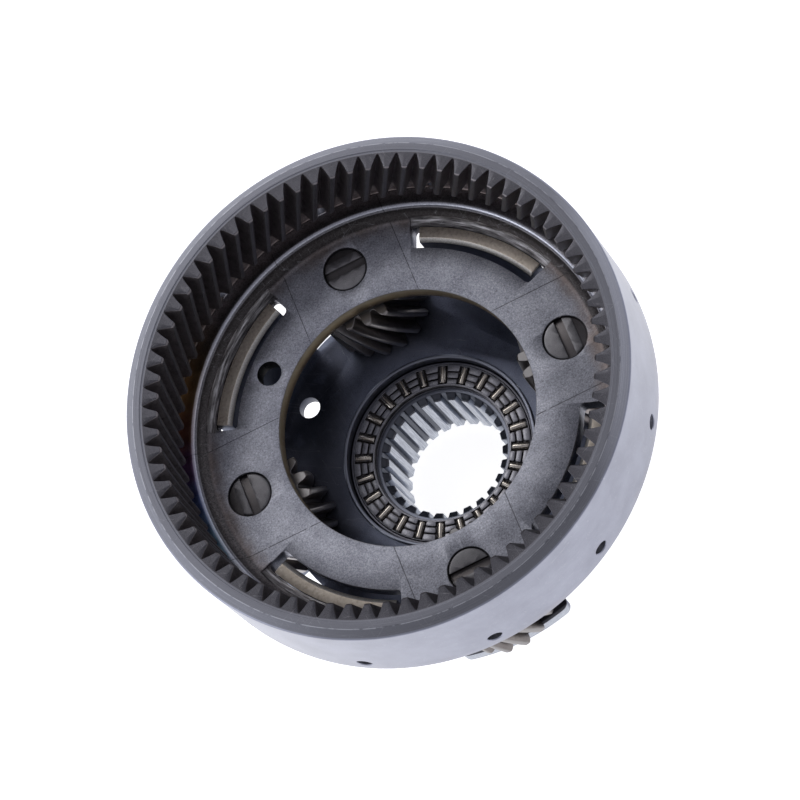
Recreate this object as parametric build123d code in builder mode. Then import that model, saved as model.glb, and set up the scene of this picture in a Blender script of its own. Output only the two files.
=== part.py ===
from build123d import *
import os
from math import acos, atan, cos, degrees, pi, radians, sin, sqrt, tan

os.makedirs("parts", exist_ok=True)

# ---------------------------------------------------------------------------
# Planetary carrier with a welded-on ring gear drum, as used inside an
# automatic gearbox.  Millimetres, +Z up, origin on the axis in the plane of
# the output hub's free end face, so the open mouth of the drum looks up.
# Planet pins stand at 0, 90, 180 and 270 degrees about +Z, the legs of the
# rear carrier at 45, 135, 225 and 315 degrees.
# ---------------------------------------------------------------------------

# --- ring gear drum
DRUM_R = 67.5              # outer running surface
DRUM_REAR_Z = 55.8         # rear edge of the drum
DRUM_CHAMFER_Z = 84      # where the outer chamfer of the mouth starts
DRUM_FRONT_Z = 85.75       # flat front face
RIM_FLAT_OUT_R = 65.15     # outer edge of the flat front face
RIM_FLAT_IN_R = 63.25      # inner edge of the flat front face
TOOTH_FRONT_Z = 85.5       # front ends of the teeth, a shallow step down
RING_TEETH = 75
RING_PITCH_R = 59.85
RING_TIP_R = 58.3
RING_ROOT_R = 62.4
RING_TOOTH_REAR_Z = 66.1   # rear ends of the teeth
GROOVE_R = 62.9            # oil groove behind the teeth
CUP_OUTER_R = 62.6         # bore that the carrier cup is seated in
OIL_HOLES = 12
OIL_HOLE_D = 4.0
OIL_HOLE_Z = 61.1

# --- gear data shared by the ring and the pinions
HELIX = 20.4               # helix angle at the pitch circle, left hand
ALPHA_T = atan(tan(radians(20.0)) / cos(radians(HELIX)))

# --- front carrier plate, a shallow cup
PLATE_FRONT_Z = 57
PLATE_T = 5.0
PLATE_REAR_Z = PLATE_FRONT_Z - PLATE_T
CUP_RIM_Z = 60.4
CUP_WALL_IN_R = 57.6
CUP_FILLET_R = 4.0
CUP_OUT_CORNER = 3.5
CENTRE_HOLE_R = 35.1
LOCATING_HOLE_R = 3.4
LOCATING_HOLE_AT = 41.25
LOCATING_HOLE_ANGLE = 135.6
SLOT_IN_R = 46.8
SLOT_OUT_R = 53.25
SLOT_HALF_ANGLE = 21.9
SLOT_CORNER = 1.4
SCOOP_AT_R = 53.4           # hollow along each slot's outer edge, a ring of round section
SCOOP_ABOVE = 1.3           # its centre above the plate's front face
SCOOP_R = 2.4
SCOOP_HALF_ANGLE = 22.3

# --- rear carrier: stamped plate with four lobes and four bent legs
REAR_FRONT_Z = 27.7
REAR_T = 3.8
REAR_BACK_Z = REAR_FRONT_Z - REAR_T
REAR_BORE_R = 27.0
REAR_HOLE_R = 2.94
REAR_HOLE_AT = 40.1
REAR_HOLE_ANGLE = 135.0
REAR_BODY_R = 47.6
LOBE_R = 58.0
LOBE_HALF_ANGLE = 16.0
LEG_IN_R = 49.0
LEG_OUT_R = 53.0
LEG_HALF_ANGLE = 19.7
LEG_TOP_Z = 56

# --- planet pins, pinions, rollers and washers
PIN_CIRCLE_R = 46.3
PIN_R = 5.85
PIN_SLOT_W = 2.4
PIN_SLOT_DEPTH = 1.1
PIN_STEP_AT = 3.5          # a low flat on the side of the pin's end away from the axis
PIN_STEP_DEPTH = 0.5
PIN_OIL_R = 1.25
PINION_TEETH = 17
PINION_PITCH_R = 13.57
PINION_TIP_R = 14.95
PINION_ROOT_R = 11.45
PINION_FRONT_Z = 51.1
PINION_REAR_Z = 28.6
PINION_BORE_R = 7.95
PINION_TIP_CHAMFER = 0.5
PINION_PHASES = (186.9, 97.0, 3.5, 263.9)   # a tooth centre, front face
ROLLERS = 21
ROLLER_R = 0.97
ROLLER_ORBIT_R = 6.9
ROLLER_LEN = 20.4
WASHER_R = 10.8
WASHER_T = 0.8

# --- output hub
HUB_R = 21.0
HUB_FLANGE_R = 27.0
HUB_FLANGE_BACK_Z = 19.6
HUB_SEAT_Z = 23.6          # floor that the thrust bearing rests on
HUB_RIM_IN_R = 25.9
HUB_RIM_Z = 28.3
SPLINE_TEETH = 26
SPLINE_TIP_R = 15.9
SPLINE_ROOT_R = 17.5
SPLINE_TOP_Z = 23.25

# --- thrust needle bearing
RACE_IN_R = 18.6
RACE_OUT_R = 25.6
RACE_T = 0.8
RACE_LIP_T = 0.6
RACE_LIP_H = 2.0
CAGE_IN_R = 18.9
CAGE_OUT_R = 24.8
CAGE_T = 1.4
NEEDLES = 24
NEEDLE_PHASE = 7.3
NEEDLE_R = 1.0
NEEDLE_IN_R = 19.6
NEEDLE_LEN = 4.85


def involute(angle):
    return tan(angle) - angle


def half_angle(radius, teeth, pitch_r):
    """Half angle of an external tooth, or of an internal gear's gap, at a radius."""
    base_r = pitch_r * cos(ALPHA_T)
    at = acos(min(1.0, base_r / radius))
    return pi / (2 * teeth) + involute(ALPHA_T) - involute(at)


def polar(radius, angle):
    return (radius * cos(angle), radius * sin(angle))


def ring_cavity_outline(turn):
    """Closed outline of the space inside the ring gear, rotated by turn (radians)."""
    pts = []
    for k in range(RING_TEETH):
        mid = turn + 2 * pi * k / RING_TEETH
        left = []
        for r in (RING_TIP_R, RING_PITCH_R + 0.25, RING_ROOT_R):
            left.append((r, half_angle(r, RING_TEETH, RING_PITCH_R)))
        pts += [polar(r, mid - h) for r, h in left]
        pts += [polar(r, mid + h) for r, h in reversed(left)]
    return pts


def pinion_outline(turn):
    """Closed outline of a pinion, with a tooth centred on turn (radians)."""
    pts = []
    pitch = 2 * pi / PINION_TEETH
    base_r = PINION_PITCH_R * cos(ALPHA_T)
    radii = (base_r + 0.02, PINION_PITCH_R, PINION_TIP_R)
    root_half = half_angle(radii[0], PINION_TEETH, PINION_PITCH_R) + 0.02
    for k in range(PINION_TEETH):
        mid = turn + pitch * k
        side = [(PINION_ROOT_R, root_half)]
        side += [(r, half_angle(r, PINION_TEETH, PINION_PITCH_R)) for r in radii]
        pts += [polar(r, mid - h) for r, h in side]
        pts += [polar(r, mid + h) for r, h in reversed(side)]
    return pts


TWIST_SIGN = -1.0          # downward extrusion, counter-clockwise seen from above


def helix_turn(depth, pitch_r):
    """Rotation of a left-hand helical gear's section at a depth below its front end."""
    return depth * tan(radians(HELIX)) / pitch_r


# ---------------------------------------------------------------------------
# Ring gear drum
# ---------------------------------------------------------------------------
CORE_OVER = 0.5            # the core runs past both ends of the teeth
core_len = TOOTH_FRONT_Z - RING_TOOTH_REAR_Z + 2 * CORE_OVER
with BuildSketch(Plane.XY.offset(TOOTH_FRONT_Z + CORE_OVER)) as ring_core_outline:
    with BuildLine():
        Polyline(*ring_cavity_outline(-helix_turn(CORE_OVER, RING_PITCH_R)), close=True)
    make_face()
ring_core = Solid.extrude_linear_with_rotation(
    ring_core_outline.sketch.faces()[0],
    center=(0, 0, TOOTH_FRONT_Z + CORE_OVER),
    normal=(0, 0, -core_len),
    angle=TWIST_SIGN * degrees(helix_turn(core_len, RING_PITCH_R)),
)

with BuildPart() as ring_gear_drum:
    with BuildSketch(Plane.XZ) as drum_profile:
        with BuildLine():
            Polyline(
                (CUP_OUTER_R, DRUM_REAR_Z),
                (DRUM_R - 0.6, DRUM_REAR_Z),
                (DRUM_R, DRUM_REAR_Z + 0.6),
                (DRUM_R, DRUM_CHAMFER_Z),
                (RIM_FLAT_OUT_R, DRUM_FRONT_Z),
                (RIM_FLAT_IN_R, DRUM_FRONT_Z),
                (RIM_FLAT_IN_R - 0.1, TOOTH_FRONT_Z),
                (RING_TIP_R - 1.5, TOOTH_FRONT_Z),
                (RING_TIP_R - 1.5, RING_TOOTH_REAR_Z),
                (GROOVE_R, RING_TOOTH_REAR_Z),
                (GROOVE_R, CUP_RIM_Z),
                (CUP_OUTER_R, CUP_RIM_Z),
                close=True,
            )
        make_face()
    revolve(axis=Axis.Z)
    # bore and helical tooth gaps, cut as one twisted star-shaped core
    add(ring_core, mode=Mode.SUBTRACT)
    # radial oil holes behind the teeth
    for k in range(OIL_HOLES):
        a = 360.0 / OIL_HOLES * k
        hole_plane = Plane(
            origin=(0, 0, OIL_HOLE_Z),
            x_dir=(-sin(radians(a)), cos(radians(a)), 0),
            z_dir=(cos(radians(a)), sin(radians(a)), 0),
        )
        with BuildSketch(hole_plane.offset(CUP_OUTER_R - 2.0)):
            Circle(OIL_HOLE_D / 2)
        extrude(amount=DRUM_R - CUP_OUTER_R + 4.0, mode=Mode.SUBTRACT)
ring_gear_drum.part.label = "ring_gear_drum"
export_step(ring_gear_drum.part, "parts/ring_gear_drum.step")


# ---------------------------------------------------------------------------
# Front carrier plate: a shallow cup seated and welded in the drum's rear end
# ---------------------------------------------------------------------------
with BuildPart() as front_carrier_plate:
    lip = 1.3
    with BuildSketch(Plane.XZ) as cup_profile:
        with BuildLine():
            fillet_start = (CUP_WALL_IN_R - CUP_FILLET_R, PLATE_FRONT_Z)
            fillet_end = (
                CUP_WALL_IN_R - CUP_FILLET_R * (1 - sin(radians(62))),
                PLATE_FRONT_Z + CUP_FILLET_R * (1 - cos(radians(62))),
            )
            fillet_mid = (
                CUP_WALL_IN_R - CUP_FILLET_R * (1 - sin(radians(31))),
                PLATE_FRONT_Z + CUP_FILLET_R * (1 - cos(radians(31))),
            )
            Line((CENTRE_HOLE_R, PLATE_REAR_Z), (CENTRE_HOLE_R, PLATE_FRONT_Z))
            Line((CENTRE_HOLE_R, PLATE_FRONT_Z), fillet_start)
            ThreePointArc(fillet_start, fillet_mid, fillet_end)
            Line(fillet_end, (CUP_WALL_IN_R, CUP_RIM_Z - lip))
            ThreePointArc(
                (CUP_WALL_IN_R, CUP_RIM_Z - lip),
                (CUP_WALL_IN_R + lip * (1 - cos(radians(45))), CUP_RIM_Z - lip * (1 - sin(radians(45)))),
                (CUP_WALL_IN_R + lip, CUP_RIM_Z),
            )
            Line((CUP_WALL_IN_R + lip, CUP_RIM_Z), (CUP_OUTER_R, CUP_RIM_Z))
            Line((CUP_OUTER_R, CUP_RIM_Z), (CUP_OUTER_R, PLATE_REAR_Z + CUP_OUT_CORNER))
            ThreePointArc(
                (CUP_OUTER_R, PLATE_REAR_Z + CUP_OUT_CORNER),
                (
                    CUP_OUTER_R - CUP_OUT_CORNER * (1 - cos(radians(45))),
                    PLATE_REAR_Z + CUP_OUT_CORNER * (1 - sin(radians(45))),
                ),
                (CUP_OUTER_R - CUP_OUT_CORNER, PLATE_REAR_Z),
            )
            Line((CUP_OUTER_R - CUP_OUT_CORNER, PLATE_REAR_Z), (CENTRE_HOLE_R, PLATE_REAR_Z))
        make_face()
    revolve(axis=Axis.Z)
    # holes for the four planet pins
    with BuildSketch(Plane.XY.offset(PLATE_REAR_Z - 1)):
        with PolarLocations(PIN_CIRCLE_R, 4):
            Circle(PIN_R)
    extrude(amount=PLATE_T + 2, mode=Mode.SUBTRACT)
    # small locating hole
    with BuildSketch(Plane.XY.offset(PLATE_REAR_Z - 1)):
        with PolarLocations(LOCATING_HOLE_AT, 1, start_angle=LOCATING_HOLE_ANGLE):
            Circle(LOCATING_HOLE_R)
    extrude(amount=PLATE_T + 2, mode=Mode.SUBTRACT)
    # four arc slots for the legs, which stand against their outer walls
    for k in range(4):
        mid = radians(45 + 90 * k)
        a0, a1 = mid - radians(SLOT_HALF_ANGLE), mid + radians(SLOT_HALF_ANGLE)
        with BuildSketch(Plane.XY.offset(PLATE_REAR_Z - 1)) as slot:
            with BuildLine():
                ThreePointArc(polar(SLOT_IN_R, a0), polar(SLOT_IN_R, mid), polar(SLOT_IN_R, a1))
                Line(polar(SLOT_IN_R, a1), polar(SLOT_OUT_R, a1))
                ThreePointArc(polar(SLOT_OUT_R, a1), polar(SLOT_OUT_R, mid), polar(SLOT_OUT_R, a0))
                Line(polar(SLOT_OUT_R, a0), polar(SLOT_IN_R, a0))
            make_face()
            fillet(slot.vertices(), radius=SLOT_CORNER)
        extrude(amount=CUP_RIM_Z - PLATE_REAR_Z + 2, mode=Mode.SUBTRACT)
    # a hollow of round section runs along each slot's outer edge, into the fillet
    for k in range(4):
        scoop_start = radians(45 + 90 * k - SCOOP_HALF_ANGLE)
        scoop_plane = Plane(
            origin=(0, 0, 0),
            x_dir=(cos(scoop_start), sin(scoop_start), 0),
            z_dir=(sin(scoop_start), -cos(scoop_start), 0),
        )
        with BuildSketch(scoop_plane):
            with Locations((SCOOP_AT_R, PLATE_FRONT_Z + SCOOP_ABOVE)):
                Circle(SCOOP_R)
        revolve(axis=Axis.Z, revolution_arc=2 * SCOOP_HALF_ANGLE, mode=Mode.SUBTRACT)
front_carrier_plate.part.label = "front_carrier_plate"
export_step(front_carrier_plate.part, "parts/front_carrier_plate.step")


# ---------------------------------------------------------------------------
# Rear carrier: one stamping, a flat plate with lobes under the pins and legs
# bent up between the pinions into the slots of the front plate
# ---------------------------------------------------------------------------
with BuildPart() as rear_carrier:
    with BuildSketch(Plane.XY.offset(REAR_BACK_Z)) as rear_outline:
        Circle(REAR_BODY_R)
        for k in range(4):
            mid = radians(90 * k)
            a0, a1 = mid - radians(LOBE_HALF_ANGLE), mid + radians(LOBE_HALF_ANGLE)
            with BuildLine():
                Line(polar(REAR_BODY_R - 6, a0), polar(LOBE_R, a0))
                ThreePointArc(polar(LOBE_R, a0), polar(LOBE_R, mid), polar(LOBE_R, a1))
                Line(polar(LOBE_R, a1), polar(REAR_BODY_R - 6, a1))
                Line(polar(REAR_BODY_R - 6, a1), polar(REAR_BODY_R - 6, a0))
            make_face()
        lobe_tips = rear_outline.vertices().filter_by(
            lambda v: abs(sqrt(v.X ** 2 + v.Y ** 2) - LOBE_R) < 0.01
        )
        fillet(lobe_tips, radius=2.2)
        Circle(REAR_BORE_R, mode=Mode.SUBTRACT)
        with PolarLocations(PIN_CIRCLE_R, 4):
            Circle(PIN_R, mode=Mode.SUBTRACT)
        with PolarLocations(REAR_HOLE_AT, 1, start_angle=REAR_HOLE_ANGLE):
            Circle(REAR_HOLE_R, mode=Mode.SUBTRACT)
    extrude(amount=REAR_T)
    # legs: an L-shaped section swept about the axis, with the bend rounded
    bend_in, bend_out = 2.0, 5.4
    for k in range(4):
        leg_plane = Plane(
            origin=(0, 0, 0),
            x_dir=(cos(radians(45 + 90 * k - LEG_HALF_ANGLE)), sin(radians(45 + 90 * k - LEG_HALF_ANGLE)), 0),
            z_dir=(sin(radians(45 + 90 * k - LEG_HALF_ANGLE)), -cos(radians(45 + 90 * k - LEG_HALF_ANGLE)), 0),
        )
        with BuildSketch(leg_plane) as leg_section:
            with BuildLine():
                Line((REAR_BODY_R - 3.5, REAR_BACK_Z), (LEG_OUT_R - bend_out, REAR_BACK_Z))
                ThreePointArc(
                    (LEG_OUT_R - bend_out, REAR_BACK_Z),
                    (
                        LEG_OUT_R - bend_out * (1 - sin(radians(45))),
                        REAR_BACK_Z + bend_out * (1 - cos(radians(45))),
                    ),
                    (LEG_OUT_R, REAR_BACK_Z + bend_out),
                )
                Line((LEG_OUT_R, REAR_BACK_Z + bend_out), (LEG_OUT_R, LEG_TOP_Z))
                Line((LEG_OUT_R, LEG_TOP_Z), (LEG_IN_R + 1.1, LEG_TOP_Z))
                Line((LEG_IN_R + 1.1, LEG_TOP_Z), (LEG_IN_R, LEG_TOP_Z - 0.9))
                Line((LEG_IN_R, LEG_TOP_Z - 0.9), (LEG_IN_R, REAR_FRONT_Z + bend_in))
                ThreePointArc(
                    (LEG_IN_R, REAR_FRONT_Z + bend_in),
                    (
                        LEG_IN_R - bend_in * (1 - cos(radians(45))),
                        REAR_FRONT_Z + bend_in * (1 - sin(radians(45))),
                    ),
                    (LEG_IN_R - bend_in, REAR_FRONT_Z),
                )
                Line((LEG_IN_R - bend_in, REAR_FRONT_Z), (REAR_BODY_R - 3.5, REAR_FRONT_Z))
                Line((REAR_BODY_R - 3.5, REAR_FRONT_Z), (REAR_BODY_R - 3.5, REAR_BACK_Z))
            make_face()
        revolve(axis=Axis.Z, revolution_arc=2 * LEG_HALF_ANGLE)
rear_carrier.part.label = "rear_carrier"
export_step(rear_carrier.part, "parts/rear_carrier.step")


# ---------------------------------------------------------------------------
# Output hub: internal spline, a dished flange that seats the thrust bearing
# ---------------------------------------------------------------------------
with BuildPart() as output_hub:
    with BuildSketch(Plane.XZ) as hub_profile:
        with BuildLine():
            Polyline(
                (SPLINE_TIP_R, 0.8),
                (SPLINE_TIP_R + 1.9, 0.0),
                (HUB_R - 0.8, 0.0),
                (HUB_R, 0.8),
                (HUB_R, HUB_FLANGE_BACK_Z - 1.2),
                (HUB_R + 1.2, HUB_FLANGE_BACK_Z),
                (HUB_FLANGE_R - 0.8, HUB_FLANGE_BACK_Z),
                (HUB_FLANGE_R, HUB_FLANGE_BACK_Z + 0.8),
                (HUB_FLANGE_R, HUB_RIM_Z - 0.3),
                (HUB_FLANGE_R - 0.3, HUB_RIM_Z),
                (HUB_RIM_IN_R + 0.3, HUB_RIM_Z),
                (HUB_RIM_IN_R, HUB_RIM_Z - 0.3),
                (HUB_RIM_IN_R, HUB_SEAT_Z),
                (SPLINE_TIP_R + 1.9, HUB_SEAT_Z),
                (SPLINE_TIP_R, SPLINE_TOP_Z - 0.8),
                close=True,
            )
        make_face()
    revolve(axis=Axis.Z)
    # straight spline: trapezoidal gaps through the bore
    with BuildSketch(Plane.XY.offset(-1)) as spline_gap:
        pitch = 2 * pi / SPLINE_TEETH
        for k in range(SPLINE_TEETH):
            mid = pitch * k
            with BuildLine():
                Polyline(
                    polar(SPLINE_TIP_R - 0.8, mid - 0.30 * pitch),
                    polar(SPLINE_ROOT_R, mid - 0.17 * pitch),
                    polar(SPLINE_ROOT_R, mid + 0.17 * pitch),
                    polar(SPLINE_TIP_R - 0.8, mid + 0.30 * pitch),
                    close=True,
                )
            make_face()
    extrude(amount=HUB_SEAT_Z + 3, mode=Mode.SUBTRACT)
output_hub.part.label = "output_hub"
export_step(output_hub.part, "parts/output_hub.step")


# ---------------------------------------------------------------------------
# Planet pins: solid shafts with a staking slot in the front end, and an oil
# drilling from the rear end that feeds the needle rollers
# ---------------------------------------------------------------------------
for i in range(4):
    a = radians(90 * i)
    cx, cy = PIN_CIRCLE_R * cos(a), PIN_CIRCLE_R * sin(a)
    pin_len = PLATE_FRONT_Z - REAR_BACK_Z
    base = Plane(origin=(cx, cy, REAR_BACK_Z), x_dir=(cos(a), sin(a), 0), z_dir=(0, 0, 1))
    with BuildPart() as planet_pin:
        with BuildSketch(base):
            Circle(PIN_R)
        extrude(amount=pin_len)
        chamfer(planet_pin.edges().group_by(Axis.Z)[-1], length=0.3)
        chamfer(planet_pin.edges().group_by(Axis.Z)[0], length=0.3)
        with BuildSketch(base.offset(pin_len - PIN_SLOT_DEPTH)):
            Rectangle(PIN_SLOT_W, 4 * PIN_R)
        extrude(amount=2 * PIN_SLOT_DEPTH, mode=Mode.SUBTRACT)
        with BuildSketch(base.offset(pin_len - PIN_STEP_DEPTH)):
            with Locations((PIN_STEP_AT + PIN_R, 0)):
                Rectangle(2 * PIN_R, 4 * PIN_R)
        extrude(amount=2 * PIN_STEP_DEPTH, mode=Mode.SUBTRACT)
        with BuildSketch(base):
            Circle(PIN_OIL_R)
        extrude(amount=pin_len * 0.55, mode=Mode.SUBTRACT)
        cross = Plane(
            origin=(cx, cy, (PINION_FRONT_Z + PINION_REAR_Z) / 2),
            x_dir=(-sin(a), cos(a), 0),
            z_dir=(-cos(a), -sin(a), 0),
        )
        with BuildSketch(cross):
            Circle(0.8)
        extrude(amount=PIN_R + 1, mode=Mode.SUBTRACT)
    planet_pin.part.label = f"planet_pin_{i + 1}"
    export_step(planet_pin.part, f"parts/planet_pin_{i + 1}.step")


# ---------------------------------------------------------------------------
# Planet pinions: helical, left hand, bored for the needle rollers
# ---------------------------------------------------------------------------
for i in range(4):
    a = radians(90 * i)
    cx, cy = PIN_CIRCLE_R * cos(a), PIN_CIRCLE_R * sin(a)
    face_w = PINION_FRONT_Z - PINION_REAR_Z
    with BuildSketch(Plane(origin=(cx, cy, PINION_FRONT_Z))) as tooth_outline:
        with BuildLine():
            Polyline(*pinion_outline(radians(PINION_PHASES[i])), close=True)
        make_face()
    pinion_blank = Solid.extrude_linear_with_rotation(
        tooth_outline.sketch.faces()[0],
        center=(cx, cy, PINION_FRONT_Z),
        normal=(0, 0, -face_w),
        angle=TWIST_SIGN * degrees(helix_turn(face_w, PINION_PITCH_R)),
    )
    c = PINION_TIP_CHAMFER
    with BuildPart() as planet_pinion:
        add(pinion_blank)
        # the ends of the teeth are chamfered, and the bore takes the rollers
        with BuildSketch(Plane(origin=(cx, cy, 0), x_dir=(1, 0, 0), z_dir=(0, -1, 0))):
            with BuildLine():
                Polyline(
                    (PINION_BORE_R, PINION_REAR_Z),
                    (PINION_TIP_R - c, PINION_REAR_Z),
                    (PINION_TIP_R + 0.3, PINION_REAR_Z + c + 0.3),
                    (PINION_TIP_R + 0.3, PINION_FRONT_Z - c - 0.3),
                    (PINION_TIP_R - c, PINION_FRONT_Z),
                    (PINION_BORE_R, PINION_FRONT_Z),
                    close=True,
                )
            make_face()
        revolve(axis=Axis((cx, cy, 0), (0, 0, 1)), mode=Mode.INTERSECT)
    planet_pinion.part.label = f"planet_pinion_{i + 1}"
    export_step(planet_pinion.part, f"parts/planet_pinion_{i + 1}.step")


# ---------------------------------------------------------------------------
# Needle rollers, a full complement round each pin
# ---------------------------------------------------------------------------
for i in range(4):
    a = radians(90 * i)
    cx, cy = PIN_CIRCLE_R * cos(a), PIN_CIRCLE_R * sin(a)
    mid_z = (PINION_FRONT_Z + PINION_REAR_Z) / 2
    with BuildPart() as pinion_rollers:
        with BuildSketch(Plane(origin=(cx, cy, mid_z - ROLLER_LEN / 2))):
            with PolarLocations(ROLLER_ORBIT_R, ROLLERS):
                Circle(ROLLER_R)
        extrude(amount=ROLLER_LEN)
    pinion_rollers.part.label = f"pinion_rollers_{i + 1}"
    export_step(pinion_rollers.part, f"parts/pinion_rollers_{i + 1}.step")


# ---------------------------------------------------------------------------
# Thrust washers at both ends of each pinion
# ---------------------------------------------------------------------------
for i in range(4):
    a = radians(90 * i)
    cx, cy = PIN_CIRCLE_R * cos(a), PIN_CIRCLE_R * sin(a)
    with BuildPart() as pinion_washer_front:
        with BuildSketch(Plane(origin=(cx, cy, PLATE_REAR_Z - WASHER_T))):
            Circle(WASHER_R)
            Circle(PIN_R + 0.1, mode=Mode.SUBTRACT)
        extrude(amount=WASHER_T)
    pinion_washer_front.part.label = f"pinion_washer_front_{i + 1}"
    export_step(pinion_washer_front.part, f"parts/pinion_washer_front_{i + 1}.step")
    with BuildPart() as pinion_washer_rear:
        with BuildSketch(Plane(origin=(cx, cy, REAR_FRONT_Z))):
            Circle(WASHER_R)
            Circle(PIN_R + 0.1, mode=Mode.SUBTRACT)
        extrude(amount=WASHER_T)
    pinion_washer_rear.part.label = f"pinion_washer_rear_{i + 1}"
    export_step(pinion_washer_rear.part, f"parts/pinion_washer_rear_{i + 1}.step")


# ---------------------------------------------------------------------------
# Thrust needle bearing in the dish of the hub
# ---------------------------------------------------------------------------
with BuildPart() as thrust_bearing_race:
    with BuildSketch(Plane.XZ):
        with BuildLine():
            Polyline(
                (RACE_IN_R, HUB_SEAT_Z),
                (RACE_OUT_R, HUB_SEAT_Z),
                (RACE_OUT_R, HUB_SEAT_Z + RACE_LIP_H),
                (RACE_OUT_R - RACE_LIP_T, HUB_SEAT_Z + RACE_LIP_H),
                (RACE_OUT_R - RACE_LIP_T, HUB_SEAT_Z + RACE_T),
                (RACE_IN_R, HUB_SEAT_Z + RACE_T),
                close=True,
            )
        make_face()
    revolve(axis=Axis.Z)
thrust_bearing_race.part.label = "thrust_bearing_race"
export_step(thrust_bearing_race.part, "parts/thrust_bearing_race.step")

needle_z = HUB_SEAT_Z + RACE_T + 0.05 + NEEDLE_R
with BuildPart() as thrust_bearing_cage:
    with BuildSketch(Plane.XY.offset(needle_z - CAGE_T / 2)):
        Circle(CAGE_OUT_R)
        Circle(CAGE_IN_R, mode=Mode.SUBTRACT)
        with PolarLocations(NEEDLE_IN_R + NEEDLE_LEN / 2, NEEDLES, start_angle=NEEDLE_PHASE):
            Rectangle(NEEDLE_LEN + 0.16, 2 * NEEDLE_R + 0.16, mode=Mode.SUBTRACT)
    extrude(amount=CAGE_T)
thrust_bearing_cage.part.label = "thrust_bearing_cage"
export_step(thrust_bearing_cage.part, "parts/thrust_bearing_cage.step")

with BuildPart() as thrust_bearing_needles:
    for k in range(NEEDLES):
        b = radians(NEEDLE_PHASE) + 2 * pi * k / NEEDLES
        needle_plane = Plane(
            origin=(NEEDLE_IN_R * cos(b), NEEDLE_IN_R * sin(b), needle_z),
            x_dir=(-sin(b), cos(b), 0),
            z_dir=(cos(b), sin(b), 0),
        )
        with BuildSketch(needle_plane):
            Circle(NEEDLE_R)
        extrude(amount=NEEDLE_LEN)
thrust_bearing_needles.part.label = "thrust_bearing_needles"
export_step(thrust_bearing_needles.part, "parts/thrust_bearing_needles.step")
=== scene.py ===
import math

import bmesh
import bpy
import numpy as np
from mathutils import Matrix, Vector


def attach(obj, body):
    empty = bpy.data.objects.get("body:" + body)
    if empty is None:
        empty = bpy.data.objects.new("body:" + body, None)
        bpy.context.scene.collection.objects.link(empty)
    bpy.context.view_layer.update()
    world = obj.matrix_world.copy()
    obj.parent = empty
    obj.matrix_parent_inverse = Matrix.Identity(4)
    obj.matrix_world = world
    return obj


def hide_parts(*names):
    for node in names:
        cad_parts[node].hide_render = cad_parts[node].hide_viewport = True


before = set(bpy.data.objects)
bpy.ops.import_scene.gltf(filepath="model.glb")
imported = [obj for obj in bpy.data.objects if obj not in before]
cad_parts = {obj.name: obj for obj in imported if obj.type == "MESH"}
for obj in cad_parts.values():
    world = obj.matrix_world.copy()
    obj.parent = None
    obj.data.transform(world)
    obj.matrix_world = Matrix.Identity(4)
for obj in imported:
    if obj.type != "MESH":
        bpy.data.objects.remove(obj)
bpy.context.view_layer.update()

scene = bpy.context.scene
MM = 0.001
TAU = 2 * math.pi
RISE = 5.0  # heights below count from a plane this far above the hub's free end

# ---------------------------------------------------------------- sizes, mm
DRUM_R, RING_TEETH, RING_PITCH_R, RING_TIP_R, RING_ROOT_R = 67.5, 75, 59.85, 58.3, 62.4
PIN_C, PINION_TEETH, PINION_PITCH_R, PINION_TIP_R, PINION_ROOT_R = 46.3, 17, 13.57, 14.95, 11.45
PINION_FRONT_Z, PINION_REAR_Z = 46.1, 23.6
HELIX = math.radians(20.4)
ALPHA_T = math.atan(math.tan(math.radians(20)) / math.cos(HELIX))
PHASES = (186.9, 97.0, 3.5, 263.9)


def inv(a):
    return math.tan(a) - a


def half(r, n, rp):
    rb = rp * math.cos(ALPHA_T)
    return math.pi / (2 * n) + inv(ALPHA_T) - inv(math.acos(min(1.0, rb / r)))


# ---------------------------------------------------------------- mesh tools
def link(ob):
    scene.collection.objects.link(ob)
    return ob


def shade(me, angle=30.0):
    me.polygons.foreach_set("use_smooth", np.ones(len(me.polygons), bool))
    me.set_sharp_from_angle(angle=math.radians(angle))
    me.update()


def tidy(me, merge=None):
    bm = bmesh.new()
    bm.from_mesh(me)
    if merge:
        bmesh.ops.remove_doubles(bm, verts=bm.verts, dist=merge)
    bmesh.ops.recalc_face_normals(bm, faces=bm.faces)
    bm.to_mesh(me)
    bm.free()


def ring_loft(name, rings, angle=30.0):
    """Closed skin over loops of equal count, the last loop joined to the first. Millimetres in."""
    n, m = len(rings[0]), len(rings)
    verts = np.concatenate([np.asarray(r, float) for r in rings]) * MM
    j = np.arange(n)
    k = (j + 1) % n
    quads = []
    for i in range(m):
        a, b = i * n, ((i + 1) % m) * n
        quads.append(np.stack([a + j, a + k, b + k, b + j], 1))
    me = bpy.data.meshes.new(name)
    me.from_pydata(verts.tolist(), [], np.concatenate(quads).tolist())
    tidy(me)
    shade(me, angle)
    return link(bpy.data.objects.new(name, me))


def circle(r, z, ang, cx=0.0, cy=0.0):
    return np.stack([cx + r * np.cos(ang), cy + r * np.sin(ang), np.full(len(ang), z)], 1)


def lathe(name, prof, segs, angle=30.0, cx=0.0, cy=0.0):
    """Closed body of revolution from a closed profile of (r, z)."""
    ang = np.arange(segs) * TAU / segs
    return ring_loft(name, [circle(r, z, ang, cx, cy) for r, z in prof], angle)


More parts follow.
